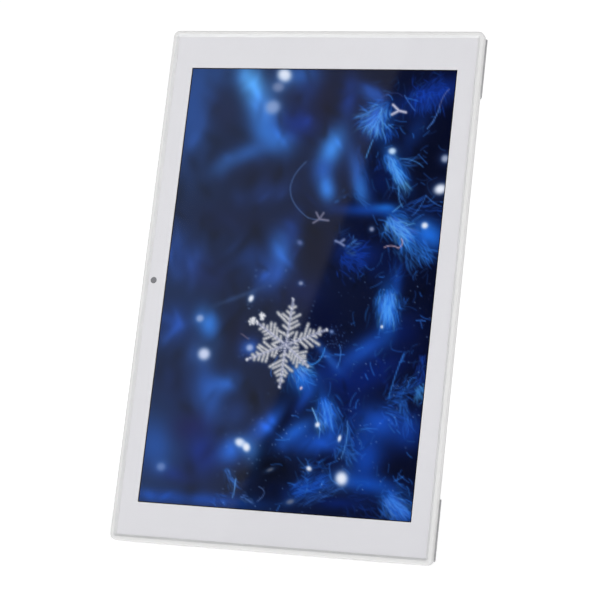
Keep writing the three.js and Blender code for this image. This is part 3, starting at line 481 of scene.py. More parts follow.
# Broad out-of-focus light: x, y, half length, half width, angle, colour, strength.
BROAD_LIGHT = [
    (3, 22, 30, 10, 90, (0.15, 0.31, 0.60), 0.85),
    (12, 3, 17, 7, 0, (0.15, 0.30, 0.56), 0.6),
    (20, 22, 12, 9, 60, (0.11, 0.15, 0.29), 0.6),
    (54, 14, 8, 6, 30, (0.08, 0.12, 0.26), 0.7),
    (70, 17, 9, 16, 0, (0.08, 0.09, 0.20), 0.8),
    (33, 9, 15, 6.5, 64, (0.33, 0.65, 0.95), 0.95),
    (40, 23, 13, 6.5, 60, (0.22, 0.47, 0.83), 0.85),
    (46, 34, 12, 8, 30, (0.20, 0.47, 0.84), 0.9),
    (34, 43, 14, 5, -30, (0.17, 0.37, 0.68), 0.8),
    (23, 49, 8, 4.5, -35, (0.17, 0.35, 0.62), 0.7),
    (58, 3, 9, 6, 0, (0.18, 0.42, 0.78), 0.7),
    (58, 27, 10, 7, 10, (0.08, 0.20, 0.55), 0.85),
    (62, 10, 6, 8, 0, (0.10, 0.20, 0.46), 0.6),
    (83, 14, 4.5, 11, 0, (0.09, 0.22, 0.54), 0.8),
    (95, 12, 8, 4, 30, (0.16, 0.37, 0.76), 0.75),
    (40, 54, 18, 7, 0, (0.08, 0.12, 0.24), 0.7),
    (30, 76, 24, 9, 0, (0.08, 0.12, 0.25), 0.7),
    (50, 62, 13, 6, -20, (0.11, 0.21, 0.44), 0.6),
    (77, 40, 11, 6, 108, (0.24, 0.55, 0.93), 0.95),
    (74, 51, 6, 5, 90, (0.14, 0.34, 0.72), 0.7),
    (77, 60, 7, 4.5, 70, (0.22, 0.52, 0.92), 0.9),
    (92, 52, 16, 4.2, 67, (0.16, 0.37, 0.72), 0.8),
    (94, 60, 7, 3.4, 65, (0.22, 0.48, 0.84), 0.7),
    (62, 83, 6, 9, 0, (0.11, 0.24, 0.54), 0.7),
    (57, 92, 10, 5.5, 75, (0.20, 0.44, 0.82), 0.9),
    (53, 104, 8, 9, 40, (0.15, 0.32, 0.66), 0.8),
    (6, 96, 13, 11, 40, (0.13, 0.26, 0.54), 0.8),
    (22, 104, 12, 8, 10, (0.11, 0.17, 0.38), 0.6),
    (42, 95, 9, 7, 0, (0.11, 0.24, 0.50), 0.6),
    (76, 90, 10, 13, 0, (0.06, 0.07, 0.15), 0.75),
    (72, 112, 10, 8, 0, (0.07, 0.12, 0.32), 0.7),
    (100, 70, 16, 3, 0, (0.08, 0.27, 0.66), 0.85),
    (107, 68.5, 6, 2, 0, (0.13, 0.46, 0.88), 0.85),
    (98, 92, 12, 8, 15, (0.04, 0.16, 0.48), 0.9),
    (102, 80, 8, 7, 0, (0.01, 0.03, 0.13), 0.7),
    (118, 33, 5, 12, 20, (0.06, 0.20, 0.48), 0.75),
    (123, 42, 10, 9, 60, (0.01, 0.03, 0.12), 0.7),
    (125, 12, 17, 6.5, -22, (0.06, 0.20, 0.58), 0.85),
    (98, 26, 9, 7.5, 100, (0.10, 0.34, 0.76), 0.85),
    (111, 49, 11, 3.6, 56, (0.11, 0.42, 0.84), 0.9),
    (104, 56, 6, 9, 0, (0.02, 0.09, 0.30), 0.8),
    (116, 78, 11, 4, 46, (0.08, 0.36, 0.78), 0.85),
    (130, 81, 7, 10, 120, (0.12, 0.43, 0.88), 0.95),
    (114, 99, 12, 7, 30, (0.01, 0.05, 0.20), 0.8),
    (117, 105, 3, 9, 0, (0.07, 0.24, 0.58), 0.7),
    (25, 129, 9, 6, 55, (0.20, 0.50, 0.90), 0.95),
    (38, 115, 13, 1.3, -23, (0.20, 0.31, 0.50), 0.6),
    (7, 130, 9, 10, 0, (0.10, 0.23, 0.50), 0.8),
    (38, 132, 9, 9, 0, (0.06, 0.08, 0.18), 0.7),
    (12, 160, 16, 10, 60, (0.08, 0.15, 0.34), 0.6),
    (47, 140, 5, 5, 0, (0.13, 0.32, 0.72), 0.8),
    (29, 163, 15, 7, 68, (0.15, 0.34, 0.68), 0.85),
    (36, 158, 8, 5, -15, (0.17, 0.40, 0.78), 0.8),
    (44, 172, 6, 7, 20, (0.11, 0.22, 0.46), 0.7),
    (5, 190, 15, 11, 70, (0.13, 0.32, 0.64), 0.85),
    (22, 180, 9, 7, 0, (0.09, 0.11, 0.32), 0.8),
    (30, 192, 9, 10, 0, (0.07, 0.19, 0.56), 0.85),
    (17, 203, 12, 4, 10, (0.07, 0.15, 0.42), 0.6),
    (28, 214, 34, 3.5, 0, (0.07, 0.28, 0.66), 0.8),
    (60, 177, 12, 5, -45, (0.14, 0.36, 0.78), 0.9),
    (44, 190, 7, 6, -30, (0.16, 0.42, 0.86), 0.85),
    (56, 191, 5, 7, -30, (0.20, 0.52, 0.93), 0.9),
    (63, 196, 12, 9, 40, (0.01, 0.02, 0.07), 0.85),
    (72, 171, 18, 3.6, -62, (0.01, 0.02, 0.09), 0.9),
    (78, 162, 11, 3, -62, (0.10, 0.26, 0.64), 0.75),
    (75, 179, 10, 4.2, -38, (0.14, 0.40, 0.84), 0.85),
    (87, 183, 14, 6, -8, (0.10, 0.31, 0.73), 0.9),
    (94, 150, 14, 9, 20, (0.03, 0.12, 0.42), 0.8),
    (83, 126, 9, 12, 0, (0.01, 0.04, 0.18), 0.8),
    (106, 137, 18, 5.5, -38, (0.10, 0.31, 0.72), 0.9),
    (87, 142, 10, 2.2, 44, (0.14, 0.36, 0.74), 0.75),
    (122, 128, 10, 8, 0, (0.02, 0.08, 0.30), 0.8),
    (114, 118, 12, 4.6, 84, (0.12, 0.44, 0.88), 0.9),
    (112, 148, 16, 7, -30, (0.03, 0.13, 0.44), 0.8),
    (75, 153, 9, 6, 50, (0.12, 0.40, 0.84), 0.85),
    (90, 169, 11, 4.5, 66, (0.10, 0.36, 0.80), 0.85),
    (101, 166, 6, 10, 0, (0.02, 0.09, 0.34), 0.7),
    (116, 172, 11, 8, 10, (0.10, 0.32, 0.76), 0.9),
    (130, 175, 8, 9, 0, (0.07, 0.24, 0.62), 0.8),
    (111, 189, 14, 9, 80, (0.07, 0.27, 0.68), 0.9),
    (126, 194, 9, 6, -20, (0.01, 0.03, 0.13), 0.8),
    (92, 193, 10, 4, -30, (0.01, 0.05, 0.20), 0.75),
    (112, 201, 16, 4, 4, (0.07, 0.29, 0.70), 0.85),
    (84, 205, 13, 4, -20, (0.06, 0.26, 0.64), 0.85),
    (68, 208, 9, 6, 0, (0.01, 0.04, 0.14), 0.7),
    (100, 211, 12, 3, 0, (0.03, 0.13, 0.42), 0.7),
    (129, 211, 11, 5, 42, (0.11, 0.36, 0.76), 0.9),
]
# Specks that catch the light, out of focus: x, y, half length, half width, angle, colour, strength.
BRIGHT, GREY = (0.93, 0.95, 1.0), (0.62, 0.64, 0.76)
SPECKS = [
    (48.5, 2.8, 4.6, 4.0, 40, BRIGHT, 0.95),
    (46, 9, 3.6, 3.0, 0, GREY, 0.55),
    (44.4, 19.3, 4.6, 4.2, 0, (0.55, 0.64, 0.82), 0.85),
    (107.8, 40.4, 2.2, 1.9, 0, (0.80, 0.90, 1.0), 0.95),
    (134.4, 43.6, 2.2, 2.2, 0, (0.66, 0.70, 0.80), 0.9),
    (133.6, 58.6, 3.6, 2.9, -20, BRIGHT, 1.0),
    (127.8, 76.6, 1.9, 1.8, 0, BRIGHT, 0.95),
    (101.8, 79.2, 1.3, 1.3, 0, GREY, 0.8),
    (69.3, 107, 1.3, 1.1, 0, GREY, 0.8),
    (66.4, 87, 1.6, 1.2, 30, (0.42, 0.46, 0.66), 0.7),
    (44.9, 115.5, 1.5, 2.1, 20, BRIGHT, 1.0),
    (19.8, 126.4, 2.3, 2.1, 0, (0.58, 0.66, 0.84), 0.9),
    (24.2, 143.8, 3.7, 3.5, 20, (0.80, 0.84, 0.95), 0.98),
    (47.2, 139.6, 2.1, 1.9, 0, (0.66, 0.72, 0.88), 0.9),
    (48.0, 185.6, 3.2, 2.4, 20, BRIGHT, 0.98),
    (51.4, 187.6, 2.7, 2.2, 60, BRIGHT, 0.98),
    (9.2, 199.8, 2.6, 2.3, 0, (0.42, 0.52, 0.74), 0.8),
    (100.3, 199.4, 3.5, 3.9, -20, BRIGHT, 0.98),
    (85.6, 174.8, 1.3, 1.5, 30, BRIGHT, 0.95),
    (97.2, 180.6, 0.9, 1.9, 10, BRIGHT, 1.0),
    (83.8, 195.8, 1.6, 1.3, 20, BRIGHT, 0.95),
    (87.4, 129.8, 1.1, 0.9, 0, (0.52, 0.60, 0.80), 0.8),
    (76.4, 212, 2.2, 1.2, -20, (0.42, 0.44, 0.52), 0.8),
    (64.6, 197.6, 2.0, 0.8, -25, (0.42, 0.42, 0.46), 0.7),
    (112, 126.4, 0.7, 0.9, 20, BRIGHT, 1.0),
    (75.4, 157.8, 0.6, 1.0, 30, (0.95, 0.82, 0.86), 1.0),
]
# Brushes of hairs: start, end, breadth, count, fan, reach, colour, strength.
BRUSHES = [
    ((103, 15), (95, 27), 6.5, 130, 30, 8, (0.20, 0.56, 0.95), 0.85),
    ((101, 18), (97, 28), 5, 60, 28, 9, (0.46, 0.80, 1.0), 0.95),
    ((95, 22), (89, 24), 3, 16, 18, 4, (0.40, 0.70, 0.96), 0.8),
    ((103, 28), (104, 33), 6, 40, 30, 5, (0.14, 0.44, 0.86), 0.8),
    ((105, 42), (113, 54), 3.2, 90, 8, 8, (0.24, 0.62, 0.98), 0.95),
    ((106, 42), (115, 57), 2.6, 50, 6, 8, (0.50, 0.84, 1.0), 0.9),
    ((112, 46), (116, 48), 3, 9, 40, 11, (0.26, 0.58, 0.92), 0.7),
    ((112, 55), (114, 62), 4, 9, 26, 9, (0.30, 0.62, 0.94), 0.7),
    ((100, 52), (103, 46), 5, 8, 30, 7, (0.12, 0.36, 0.74), 0.7),
    ((109, 73), (120, 83), 6, 130, 18, 8, (0.22, 0.60, 0.97), 0.9),
    ((109, 73), (119, 81), 4.5, 60, 22, 9, (0.52, 0.84, 1.0), 0.95),
    ((119, 84), (126, 92), 8, 50, 22, 8, (0.26, 0.62, 0.96), 0.85),
    ((126, 84), (131, 92), 4, 26, 14, 8, (0.22, 0.58, 0.96), 0.85),
    ((113, 70), (124, 66), 3, 9, 22, 9, (0.20, 0.48, 0.86), 0.75),
    ((124, 70), (134, 68), 4, 10, 22, 8, (0.16, 0.44, 0.84), 0.75),
    ((114, 13), (130, 7), 6, 90, 60, 5, (0.10, 0.31, 0.74), 0.75),
    ((121, 9), (122, 18), 12, 70, 14, 7, (0.12, 0.35, 0.78), 0.75),
    ((88, 92), (98, 95), 9, 90, 34, 7, (0.10, 0.32, 0.76), 0.8),
    ((89, 91), (94, 86), 3, 12, 24, 5, (0.42, 0.70, 0.96), 0.9),
    ((84, 88), (88, 82), 5, 14, 44, 6, (0.26, 0.48, 0.78), 0.5),
    ((113, 108), (114, 120), 6, 120, 9, 9, (0.22, 0.60, 0.97), 0.9),
    ((113, 109), (114, 121), 4, 60, 7, 9, (0.46, 0.80, 1.0), 0.9),
    ((107, 112), (112, 117), 3, 12, 26, 7, (0.22, 0.54, 0.90), 0.8),
    ((118, 117), (122, 114), 3, 12, 44, 4, (0.20, 0.50, 0.86), 0.7),
    ((114, 104), (117, 98), 3, 16, 26, 8, (0.10, 0.34, 0.70), 0.7),
    ((70, 146), (78, 154), 6, 70, 22, 7, (0.26, 0.64, 0.98), 0.9),
    ((71, 146), (76, 150), 4, 34, 22, 5, (0.56, 0.86, 1.0), 0.95),
    ((87, 161), (91, 172), 5, 120, 9, 9, (0.18, 0.52, 0.94), 0.9),
    ((88, 163), (91, 172), 3, 40, 9, 8, (0.40, 0.74, 1.0), 0.85),
    ((84, 167), (87, 176), 3, 16, 14, 7, (0.40, 0.72, 0.98), 0.9),
    ((99, 170), (101, 186), 4, 30, 24, 8, (0.22, 0.54, 0.90), 0.75),
    ((96, 184), (104, 190), 4, 34, 24, 6, (0.26, 0.58, 0.92), 0.7),
    ((104, 176), (112, 175), 2, 9, 12, 6, (0.26, 0.60, 0.94), 0.8),
    ((117, 161), (131, 154), 5, 70, 26, 6, (0.20, 0.52, 0.92), 0.8),
    ((115, 163), (125, 168), 5, 26, 20, 8, (0.18, 0.46, 0.86), 0.75),
    ((126, 160), (129, 172), 3, 26, 12, 8, (0.22, 0.54, 0.92), 0.8),
    ((132, 154), (135, 158), 4, 40, 30, 5, (0.36, 0.74, 1.0), 0.95),
    ((133, 138), (134, 150), 3, 30, 12, 7, (0.14, 0.40, 0.86), 0.8),
    ((76, 208), (90, 201), 5, 60, 12, 8, (0.16, 0.46, 0.88), 0.8),
    ((80, 214), (95, 204), 4, 30, 10, 8, (0.24, 0.50, 0.84), 0.7),
    ((104, 208), (116, 214), 8, 26, 30, 7, (0.10, 0.30, 0.66), 0.6),
    ((121, 205), (132, 214), 8, 130, 14, 8, (0.20, 0.52, 0.90), 0.85),
    ((122, 206), (131, 213), 6, 40, 12, 8, (0.42, 0.70, 0.96), 0.8),
    ((42, 198), (47, 206), 2.4, 22, 12, 6, (0.28, 0.60, 0.95), 0.85),
    ((38, 210), (44, 214), 6, 18, 30, 5, (0.18, 0.48, 0.86), 0.7),
    ((51, 211), (56, 213), 2, 9, 14, 5, (0.55, 0.74, 0.98), 0.8),
    ((78, 196), (90, 194), 3, 22, 40, 5, (0.16, 0.46, 0.82), 0.7),
    ((90, 60), (97, 67), 4, 16, 14, 6, (0.26, 0.56, 0.88), 0.6),
    ((90, 36), (93, 54), 4, 30, 8, 10, (0.20, 0.42, 0.76), 0.4),
    ((82, 67), (86, 62), 1.5, 8, 10, 4, (0.26, 0.56, 0.86), 0.7),
]
# Single long hairs: start, bend, end, colour, strength, width.
HAIRS = [
    ((65, 46.5), (50, 62), (69, 74.5), (0.34, 0.48, 0.70), 0.75, 0.24),
    ((69, 74.5), (74, 76), (80, 75.5), (0.36, 0.50, 0.72), 0.7, 0.24),
    ((99, 14), (106, 9), (110, 13), (0.28, 0.34, 0.60), 0.6, 0.2),
    ((97.5, 35), (96, 40), (95, 44), (0.36, 0.68, 0.98), 0.9, 0.24),
    ((111, 12.5), (114, 17), (117, 20), (0.30, 0.50, 0.84), 0.8, 0.22),
    ((124, 29), (128, 24), (129, 18), (0.36, 0.56, 0.88), 0.9, 0.24),
    ((129, 18), (130, 12), (133, 9), (0.45, 0.48, 0.66), 0.8, 0.24),
    ((112, 44), (120, 44), (124, 48), (0.30, 0.58, 0.90), 0.8, 0.22),
    ((113, 58), (113, 64), (116, 68), (0.30, 0.60, 0.92), 0.8, 0.22),
    ((127, 62), (124, 70), (121, 72), (0.24, 0.48, 0.84), 0.8, 0.22),
    ((127, 62), (131, 66), (135, 67), (0.24, 0.48, 0.84), 0.8, 0.22),
    ((109, 88), (112, 86), (116, 88), (0.74, 0.62, 0.68), 1.0, 0.28),
    ((116, 88), (119, 86), (117, 83.5), (0.74, 0.62, 0.68), 1.0, 0.28),
    ((92, 136), (94.5, 141), (92, 147), (0.26, 0.50, 0.84), 0.9, 0.24),
    ((78, 146.5), (84, 146), (85, 138), (0.24, 0.58, 0.94), 0.95, 0.26),
    ((119, 160), (121, 148), (124, 139), (0.20, 0.48, 0.84), 0.9, 0.26),
    ((62, 143), (58, 150), (60, 153), (0.20, 0.44, 0.82), 0.9, 0.2),
    ((42, 133), (44, 134), (46, 135.5), (0.60, 0.50, 0.56), 0.8, 0.22),
    ((48, 203), (48, 208), (47.5, 212), (0.40, 0.66, 0.95), 0.9, 0.22),
    ((60, 206), (66, 208), (60, 213), (0.40, 0.52, 0.76), 0.7, 0.22),
    ((82, 167), (85, 172), (87, 177), (0.50, 0.76, 1.0), 1.0, 0.26),
    ((100, 172), (102, 180), (99, 190), (0.34, 0.60, 0.90), 0.8, 0.22),
]
# Arms of the snow crystal: direction, length.
SNOW_ARMS = [(-87, 22.3), (-23, 21.0), (38, 15.5), (92, 20.6), (157, 20.3), (213, 18.5)]
# Twigs on an arm: how far along it, how long against the arm, on one side and on the other.
SNOW_TWIGS = [
    (0.20, 0.20, 0.14),
    (0.33, 0.13, 0.30),
    (0.44, 0.32, 0.24),
    (0.55, 0.20, 0.27),
    (0.67, 0.12, 0.10),
    (0.80, 0.09, 0.08),
]
SNOW_CENTRE = np.array((65.3, 137.4))


def paint_snow_crystal(canvas, rng):
    """A six-armed snow crystal: silver twigs with bright rims on ribs that catch less light."""
    ribs, twigs, knots = [], [], []
    for angle, length in SNOW_ARMS:
        tip = SNOW_CENTRE + turned(length, angle)
        ribs.append(curve_points(SNOW_CENTRE, (SNOW_CENTRE + tip) / 2, tip))
        for share, *sides in SNOW_TWIGS:
            root = SNOW_CENTRE + turned(length * share, angle)
            for turn, reach in zip((-56, 56), sides):
                span = turned(length * reach * rng.uniform(0.7, 1.25), angle + turn + rng.normal(0, 4))
                twigs.append(curve_points(root, root + span / 2, root + span))
        knots.append(tip[None] + rng.normal(0, 0.3, (3, 2)))
    ribs, twigs = np.concatenate(ribs), np.concatenate(twigs)
    heart = SNOW_CENTRE + rng.normal(0, 2.0, (90, 2))
    canvas.lay(np.concatenate([ribs, twigs]), 1.15, (0.10, 0.13, 0.24), 0.55)
    canvas.lay(twigs, 0.80, (0.80, 0.80, 0.80), 0.95)
    canvas.lay(ribs, 0.66, (0.72, 0.73, 0.80), 0.9)
    canvas.lay(ribs, 0.2, (0.40, 0.43, 0.60), 0.7)
    canvas.lay(twigs[::9] + rng.normal(0, 0.2, twigs[::9].shape), 0.2, (0.42, 0.43, 0.50), 0.7)
    tips = np.concatenate(knots)
    for spots, width in ((heart, 0.3), (tips, 0.5), (twigs[::7], 0.24), (ribs[::12], 0.28)):
        wander = spots + rng.normal(0, 0.35, spots.shape)
        canvas.stroke(wander, rng.uniform(0.4, 1, len(wander)), width, (0.97, 0.97, 1.0))
    canvas.lay(heart[::3] + rng.normal(0, 1.2, heart[::3].shape), 0.35, (0.30, 0.33, 0.50), 0.7)


def paint_small_crystals(canvas, rng):
    """Lumps of snow on one arm, and three little branched crystals."""
    for centre, size in (((46.7, 126.5), 0.85), ((51.8, 123.9), 0.75)):
        lump = np.array(centre) + rng.normal(0, size, (26, 2))
        canvas.stroke(lump, np.ones(len(lump)), 0.62, (0.97, 0.97, 0.98))
    for centre, arms, colour, width in (
        ((109, 20.2), ((222, 4.4), (150, 3.9), (12, 3.6)), (0.90, 0.88, 0.95), 0.62),
        ((75, 75), ((145, 3.6), (8, 4.6), (238, 3.8), (300, 3.6)), (0.50, 0.49, 0.58), 0.5),
        ((86.6, 86.4), ((30, 2.6), (200, 2.4), (320, 2.6)), (0.50, 0.56, 0.74), 0.6),
    ):
        arms = np.concatenate([
            curve_points(centre, centre + turned(r / 2, a), centre + turned(r, a)) for a, r in arms])
        canvas.stroke(arms, np.full(len(arms), 0.95), width, colour)
        canvas.lay(arms[::11], 0.24, (0.45, 0.46, 0.62), 0.6)


def paint_loose_hairs(canvas, rng):
    """Fine hairs lying about in the part of the picture that is in focus."""
    for tone in (0.45, 0.6, 0.75, 0.9, 1.0):
        lines, weights = [], []
        for _ in range(70):
            root = np.array((rng.uniform(62, ACTIVE_W), rng.uniform(0, ACTIVE_H)))
            if root[0] < 96 and root[1] < 140:
                continue
            length = rng.uniform(1.5, 7)
            end = root + turned(length, rng.uniform(0, 360))
            line = curve_points(root, (root + end) / 2 + rng.normal(0, 0.2 * length, 2), end)
            lines.append(line)
            weights.append(np.full(len(line), rng.uniform(0.25, 0.8)))
        colour = (0.20 * tone, 0.50 * tone, 0.92 * tone)
        canvas.stroke(np.concatenate(lines), np.concatenate(weights), 0.26, colour)


def paint_picture():
    """An out-of-focus tangle of blue wool with sharp tufts on the right and one snow crystal."""
    rng = np.random.default_rng(SEED)
    canvas = Canvas()
    across = np.clip(canvas.x / ACTIVE_W, 0, 1)[..., None]
    canvas.light += (1 - across) * np.array((0.09, 0.16, 0.295)) + across * np.array((0.005, 0.025, 0.13))
    for patch in BROAD_LIGHT:
        canvas.glow(*patch)
    for _ in range(PATCHES):
        x, y = rng.uniform(0, ACTIVE_W), rng.uniform(0, ACTIVE_H)
        focus = 0.35 + 0.65 * (1 - min(1, max(0, (x - 30) / 90)))
        canvas.shade(x, y, rng.uniform(3, 9) * focus, rng.uniform(1.4, 3.6) * focus, rng.uniform(20, 150),
                     rng.uniform(-PATCHINESS, PATCHINESS))
    for start, end, breadth, count, fan, reach, colour, strength in BRUSHES:
        colour = np.array(colour) * BRUSH_TINT
        brush(canvas, rng, start, end, breadth, count, fan, reach, 0.5 * colour, strength, 0.42)
        brush(canvas, rng, start, end, 0.7 * breadth, int(0.8 * count), 1.4 * fan, reach,
              colour, 0.9 * strength, 0.25)
    paint_loose_hairs(canvas, rng)
    for start, middle, end, colour, strength, width in HAIRS:
        line = curve_points(start, middle, end)
        canvas.stroke(line, np.full(len(line), strength), width, colour)
    for x, y, long, wide, angle, colour, strength in SPECKS:
        canvas.glow(x, y, 1.5 * long, 1.5 * wide, angle, (0.35, 0.60, 0.95), 0.3)
        canvas.glow(x, y, 0.86 * long, 0.86 * wide, angle, colour, strength, 3.4)
    dust = rng.uniform((38, 100), (ACTIVE_W, ACTIVE_H), (240, 2))
    canvas.stroke(dust, rng.uniform(0.15, 0.8, len(dust)), 0.26, (0.62, 0.76, 0.98))
    drift = np.array((90, 133)) + rng.normal(0, 3.2, (60, 2))
    canvas.stroke(drift, rng.uniform(0.2, 0.7, len(drift)), 0.24, (0.45, 0.62, 0.92))
    paint_snow_crystal(canvas, rng)
    paint_small_crystals(canvas, rng)
    return canvas.shown()


def to_linear(shown):
    """Display colours as linear light, by the standard curve."""
    return np.where(shown <= 0.04045, shown / 12.92, ((shown + 0.055) / 1.055) ** 2.4)


def build_screen():
    """The LCD glass with the picture painted on a fine grid, and its dark edge round it."""
    half_w, half_h = ACTIVE_W / 2, ACTIVE_H / 2
    linear = to_linear(paint_picture())
    across = np.linspace(-half_w, half_w, GRID_COLUMNS)
    down = CENTRE_Z + np.linspace(half_h, -half_h, GRID_ROWS)
    grid_x, grid_z = np.meshgrid(across, down)
    points = np.stack([grid_x, np.full(grid_x.shape, CELL_FRONT), grid_z], -1).reshape(-1, 3)
    index = np.arange(GRID_ROWS * GRID_COLUMNS).reshape(GRID_ROWS, GRID_COLUMNS)
    quads = np.stack([index[:-1, :-1], index[1:, :-1], index[1:, 1:], index[:-1, 1:]], -1).reshape(-1, 4)
    stand = np.array(FRAME_SPACE @ Matrix.Scale(MM, 4))
    points = points @ stand[:3, :3].T + stand[:3, 3]

    mesh = bpy.data.meshes.new("screen_picture")
    mesh.from_pydata(points.tolist(), [], quads.tolist())
    colours = mesh.attributes.new("picture", "FLOAT_COLOR", "POINT")
    rgba = np.concatenate([linear.reshape(-1, 3), np.ones((len(points), 1))], 1)
    colours.data.foreach_set("color", rgba.astype(np.float32).ravel())
    mesh.materials.append(SCREEN)
    picture_piece = bpy.data.objects.new("screen_picture", mesh)
    bpy.context.scene.collection.objects.link(picture_piece)
    finish_piece(picture_piece, "body", "lcd_glass", "lcd_cell")

    bm = bmesh.new()
    inner = (half_w, half_h, 0.05)
    skin(bm, frame_rings([
        (CELL_FRONT, *inner),
        (CELL_FRONT, CELL_W - 0.15, CELL_H - 0.15, 0.4),
        (CELL_FRONT + 0.15, CELL_W, CELL_H, 0.4),
        (CELL_BACK, CELL_W, CELL_H, 0.4),
    ], 3), caps=False)
    ring = rounded_rectangle(CELL_W, CELL_H, 0.4, steps=3)
    bm.faces.new([bm.verts.new((x, CELL_BACK, z)) for x, z in ring])
    bmesh.ops.remove_doubles(bm, verts=bm.verts, dist=0.001)
    finish_piece(to_object(bm, "screen_surround", "lcd_glass"), "body", "lcd_glass", "lcd_cell")


# ---------------------------------------------------------------- front pieces


def build_front():
    bm = bmesh.new()
    skin(bm, frame_rings([
        (0, GLASS_W - 0.5, GLASS_H - 0.5, GLASS_R - 0.4),
        (0.03, GLASS_W - 0.47, GLASS_H - 0.47, GLASS_R - 0.4),
        (GLASS_BACK - 0.04, SEAT_W + 0.1, SEAT_H + 0.1, 1.0),
        (GLASS_BACK, SEAT_W + 0.04, SEAT_H + 0.04, 0.95),
    ]))
    finish_piece(to_object(bm, "cover_glass_sheet", "cover_glass"), "body", "cover_glass", "cover_glass")

    window_w, window_h = ACTIVE_W / 2 + DARK_EDGE, ACTIVE_H / 2 + DARK_EDGE
    bm = bmesh.new()
    skin(bm, frame_rings([
        (PRINT_FRONT, SEAT_W - 0.03, SEAT_H - 0.03, 0.9),
        (PRINT_BACK, SEAT_W - 0.03, SEAT_H - 0.03, 0.9),
        (PRINT_BACK, window_w, window_h, 0.3),
        (PRINT_FRONT, window_w, window_h, 0.3),
    ]), closed=True)
    border = to_object(bm, "border_print_sheet", "white_ink")
    bm = bmesh.new()
    rod(bm, CAMERA_HOLE, 1, 2, CAMERA_X, CENTRE_Z, 40)
    combine(border, [to_object(bm, "eye_cutter", "white_ink")])
    finish_piece(border, "body", "white_ink", "border_print")


def build_camera():
    """The small dark eye behind the border: a tinted bezel with a domed lens in its middle."""
    bm = bmesh.new()
    lathe(bm, [(0.001, 1.19), (0.35, 1.2), (0.62, 1.225), (0.74, 1.26), (0.8, 1.24), (0.95, 1.19),
               (1.42, 1.19), (1.5, 1.21), (1.5, 1.3), (0.001, 1.3)], CAMERA_X, CENTRE_Z, 40)
    window = to_object(bm, "camera_eye", "camera_glass")
    finish_piece(window, "body", "camera_glass", "camera_window")


def build_ring():
    lip_w, lip_h = GLASS_W - 0.42, GLASS_H - 0.42
    profile = [
        (GLASS_BACK + 0.02, SEAT_W, SEAT_H, 0.95),
        (0.03, lip_w, lip_h, 1.4),
        (0, lip_w + 0.05, lip_h + 0.05, 1.45),
    ]
    for along, out in arc((RING_ROUNDING, RING_ROUNDING), RING_ROUNDING, 180, 270, 8):
        profile.append((along, HALF_W - out, HALF_H - out, CORNER - out * 0.6))
    profile += [
        (RING_BACK - 0.25, HALF_W, HALF_H, CORNER),
        (RING_BACK - 0.07, HALF_W - 0.07, HALF_H - 0.07, CORNER),
        (RING_BACK, HALF_W - 0.25, HALF_H - 0.25, CORNER - 0.2),
        (RING_BACK, HALF_W - 1.6, HALF_H - 1.6, 1.5),
        (LEDGE_BACK, HALF_W - 1.6, HALF_H - 1.6, 1.5),
        (LEDGE_BACK, LEDGE_W, LEDGE_H, 2),
        (LEDGE_FRONT, LEDGE_W, LEDGE_H, 2),
        (LEDGE_FRONT, SEAT_W, SEAT_H, 0.95),
    ]
    bm = bmesh.new()
    skin(bm, frame_rings(profile, 12), closed=True)
    ring = to_object(bm, "mid_frame_ring", "white_shell")
    posts, holes = bmesh.new(), bmesh.new()
    for sx in (-1, 1):
        for sz in (-1, 1):
            rod(posts, 2.8, LEDGE_BACK - 0.4, 8.9, sx * POST_X, CENTRE_Z + sz * POST_Z)
            rod(holes, 1.15, 3.4, 10, sx * POST_X, CENTRE_Z + sz * POST_Z, 16)
            rod(posts, 2.4, LEDGE_BACK - 0.4, 4.4, sx * CELL_POST_X, CENTRE_Z + sz * CELL_POST_Z)
            rod(holes, 0.85, 2.3, 6, sx * CELL_POST_X, CENTRE_Z + sz * CELL_POST_Z, 16)
    block(holes, (CAMERA_X - 2.8, CAMERA_X + 2.8), (1.3, 3.65), (CENTRE_Z - 3.3, CENTRE_Z + 3.3))
    combine(ring, [to_object(posts, "post_tool", "white_shell")], "UNION")
    combine(ring, [to_object(holes, "hole_tool", "white_shell")])
    finish_piece(ring, "body", "white_shell", "mid_frame")


# ---------------------------------------------------------------- back pieces


def stadium(half_length, radius, steps=10):
    right = arc((half_length - radius, 0), radius, -90, 90, steps)
    left = arc((radius - half_length, 0), radius, 90, 270, steps)
    return right + left


def foot_profile(grow=0.0):
    """Front to back and up, level underneath once the frame leans back."""
    def facet(y):
        return (y - RING_BACK) * math.tan(LEAN) - 0.3 - grow * 4

    front, back = FOOT_FRONT - grow, FOOT_BACK + grow
    return [(front, facet(FOOT_FRONT)), (9.2, facet(9.2)), (back, facet(FOOT_BACK) + 0.2),
            (back, 3.4 + grow), (front, 1.9 + grow)]


def side_foot_profile(grow=0.0):
    """Front to back and outwards."""
    def slope(y):
        return SIDE_FOOT_FACE - (y - SIDE_FOOT_TURN) * math.tan(LEAN) + grow * 4

    front, back, face = SIDE_FOOT_FRONT - grow, FOOT_BACK + grow, SIDE_FOOT_FACE + grow * 4
    return [(front, face), (front, 79 - grow), (6, 78.6 - grow), (back, 77.1 - grow),
            (back, slope(9.2) - 0.3), (9.2, slope(9.2)), (SIDE_FOOT_TURN, face)]


def upright_foot(bm, side, grow=0.0):
    middle, half = side * UPRIGHT_FOOT_X, UPRIGHT_FOOT_HALF + grow
    skin(bm, [[(x, y, z) for y, z in foot_profile(grow)] for x in (middle - half, middle + half)])


def side_foot(bm, side, grow=0.0):
    middle, half = CENTRE_Z + side * SIDE_FOOT_OFF, SIDE_FOOT_HALF + grow
    skin(bm, [[(x, y, z) for y, x in side_foot_profile(grow)] for z in (middle - half, middle + half)])


def edge_ring(outline, x, y, z):
    """An outline drawn about the point x, y and lying level at the height z."""
    return [(x + a, y + b, z) for a, b in outline]


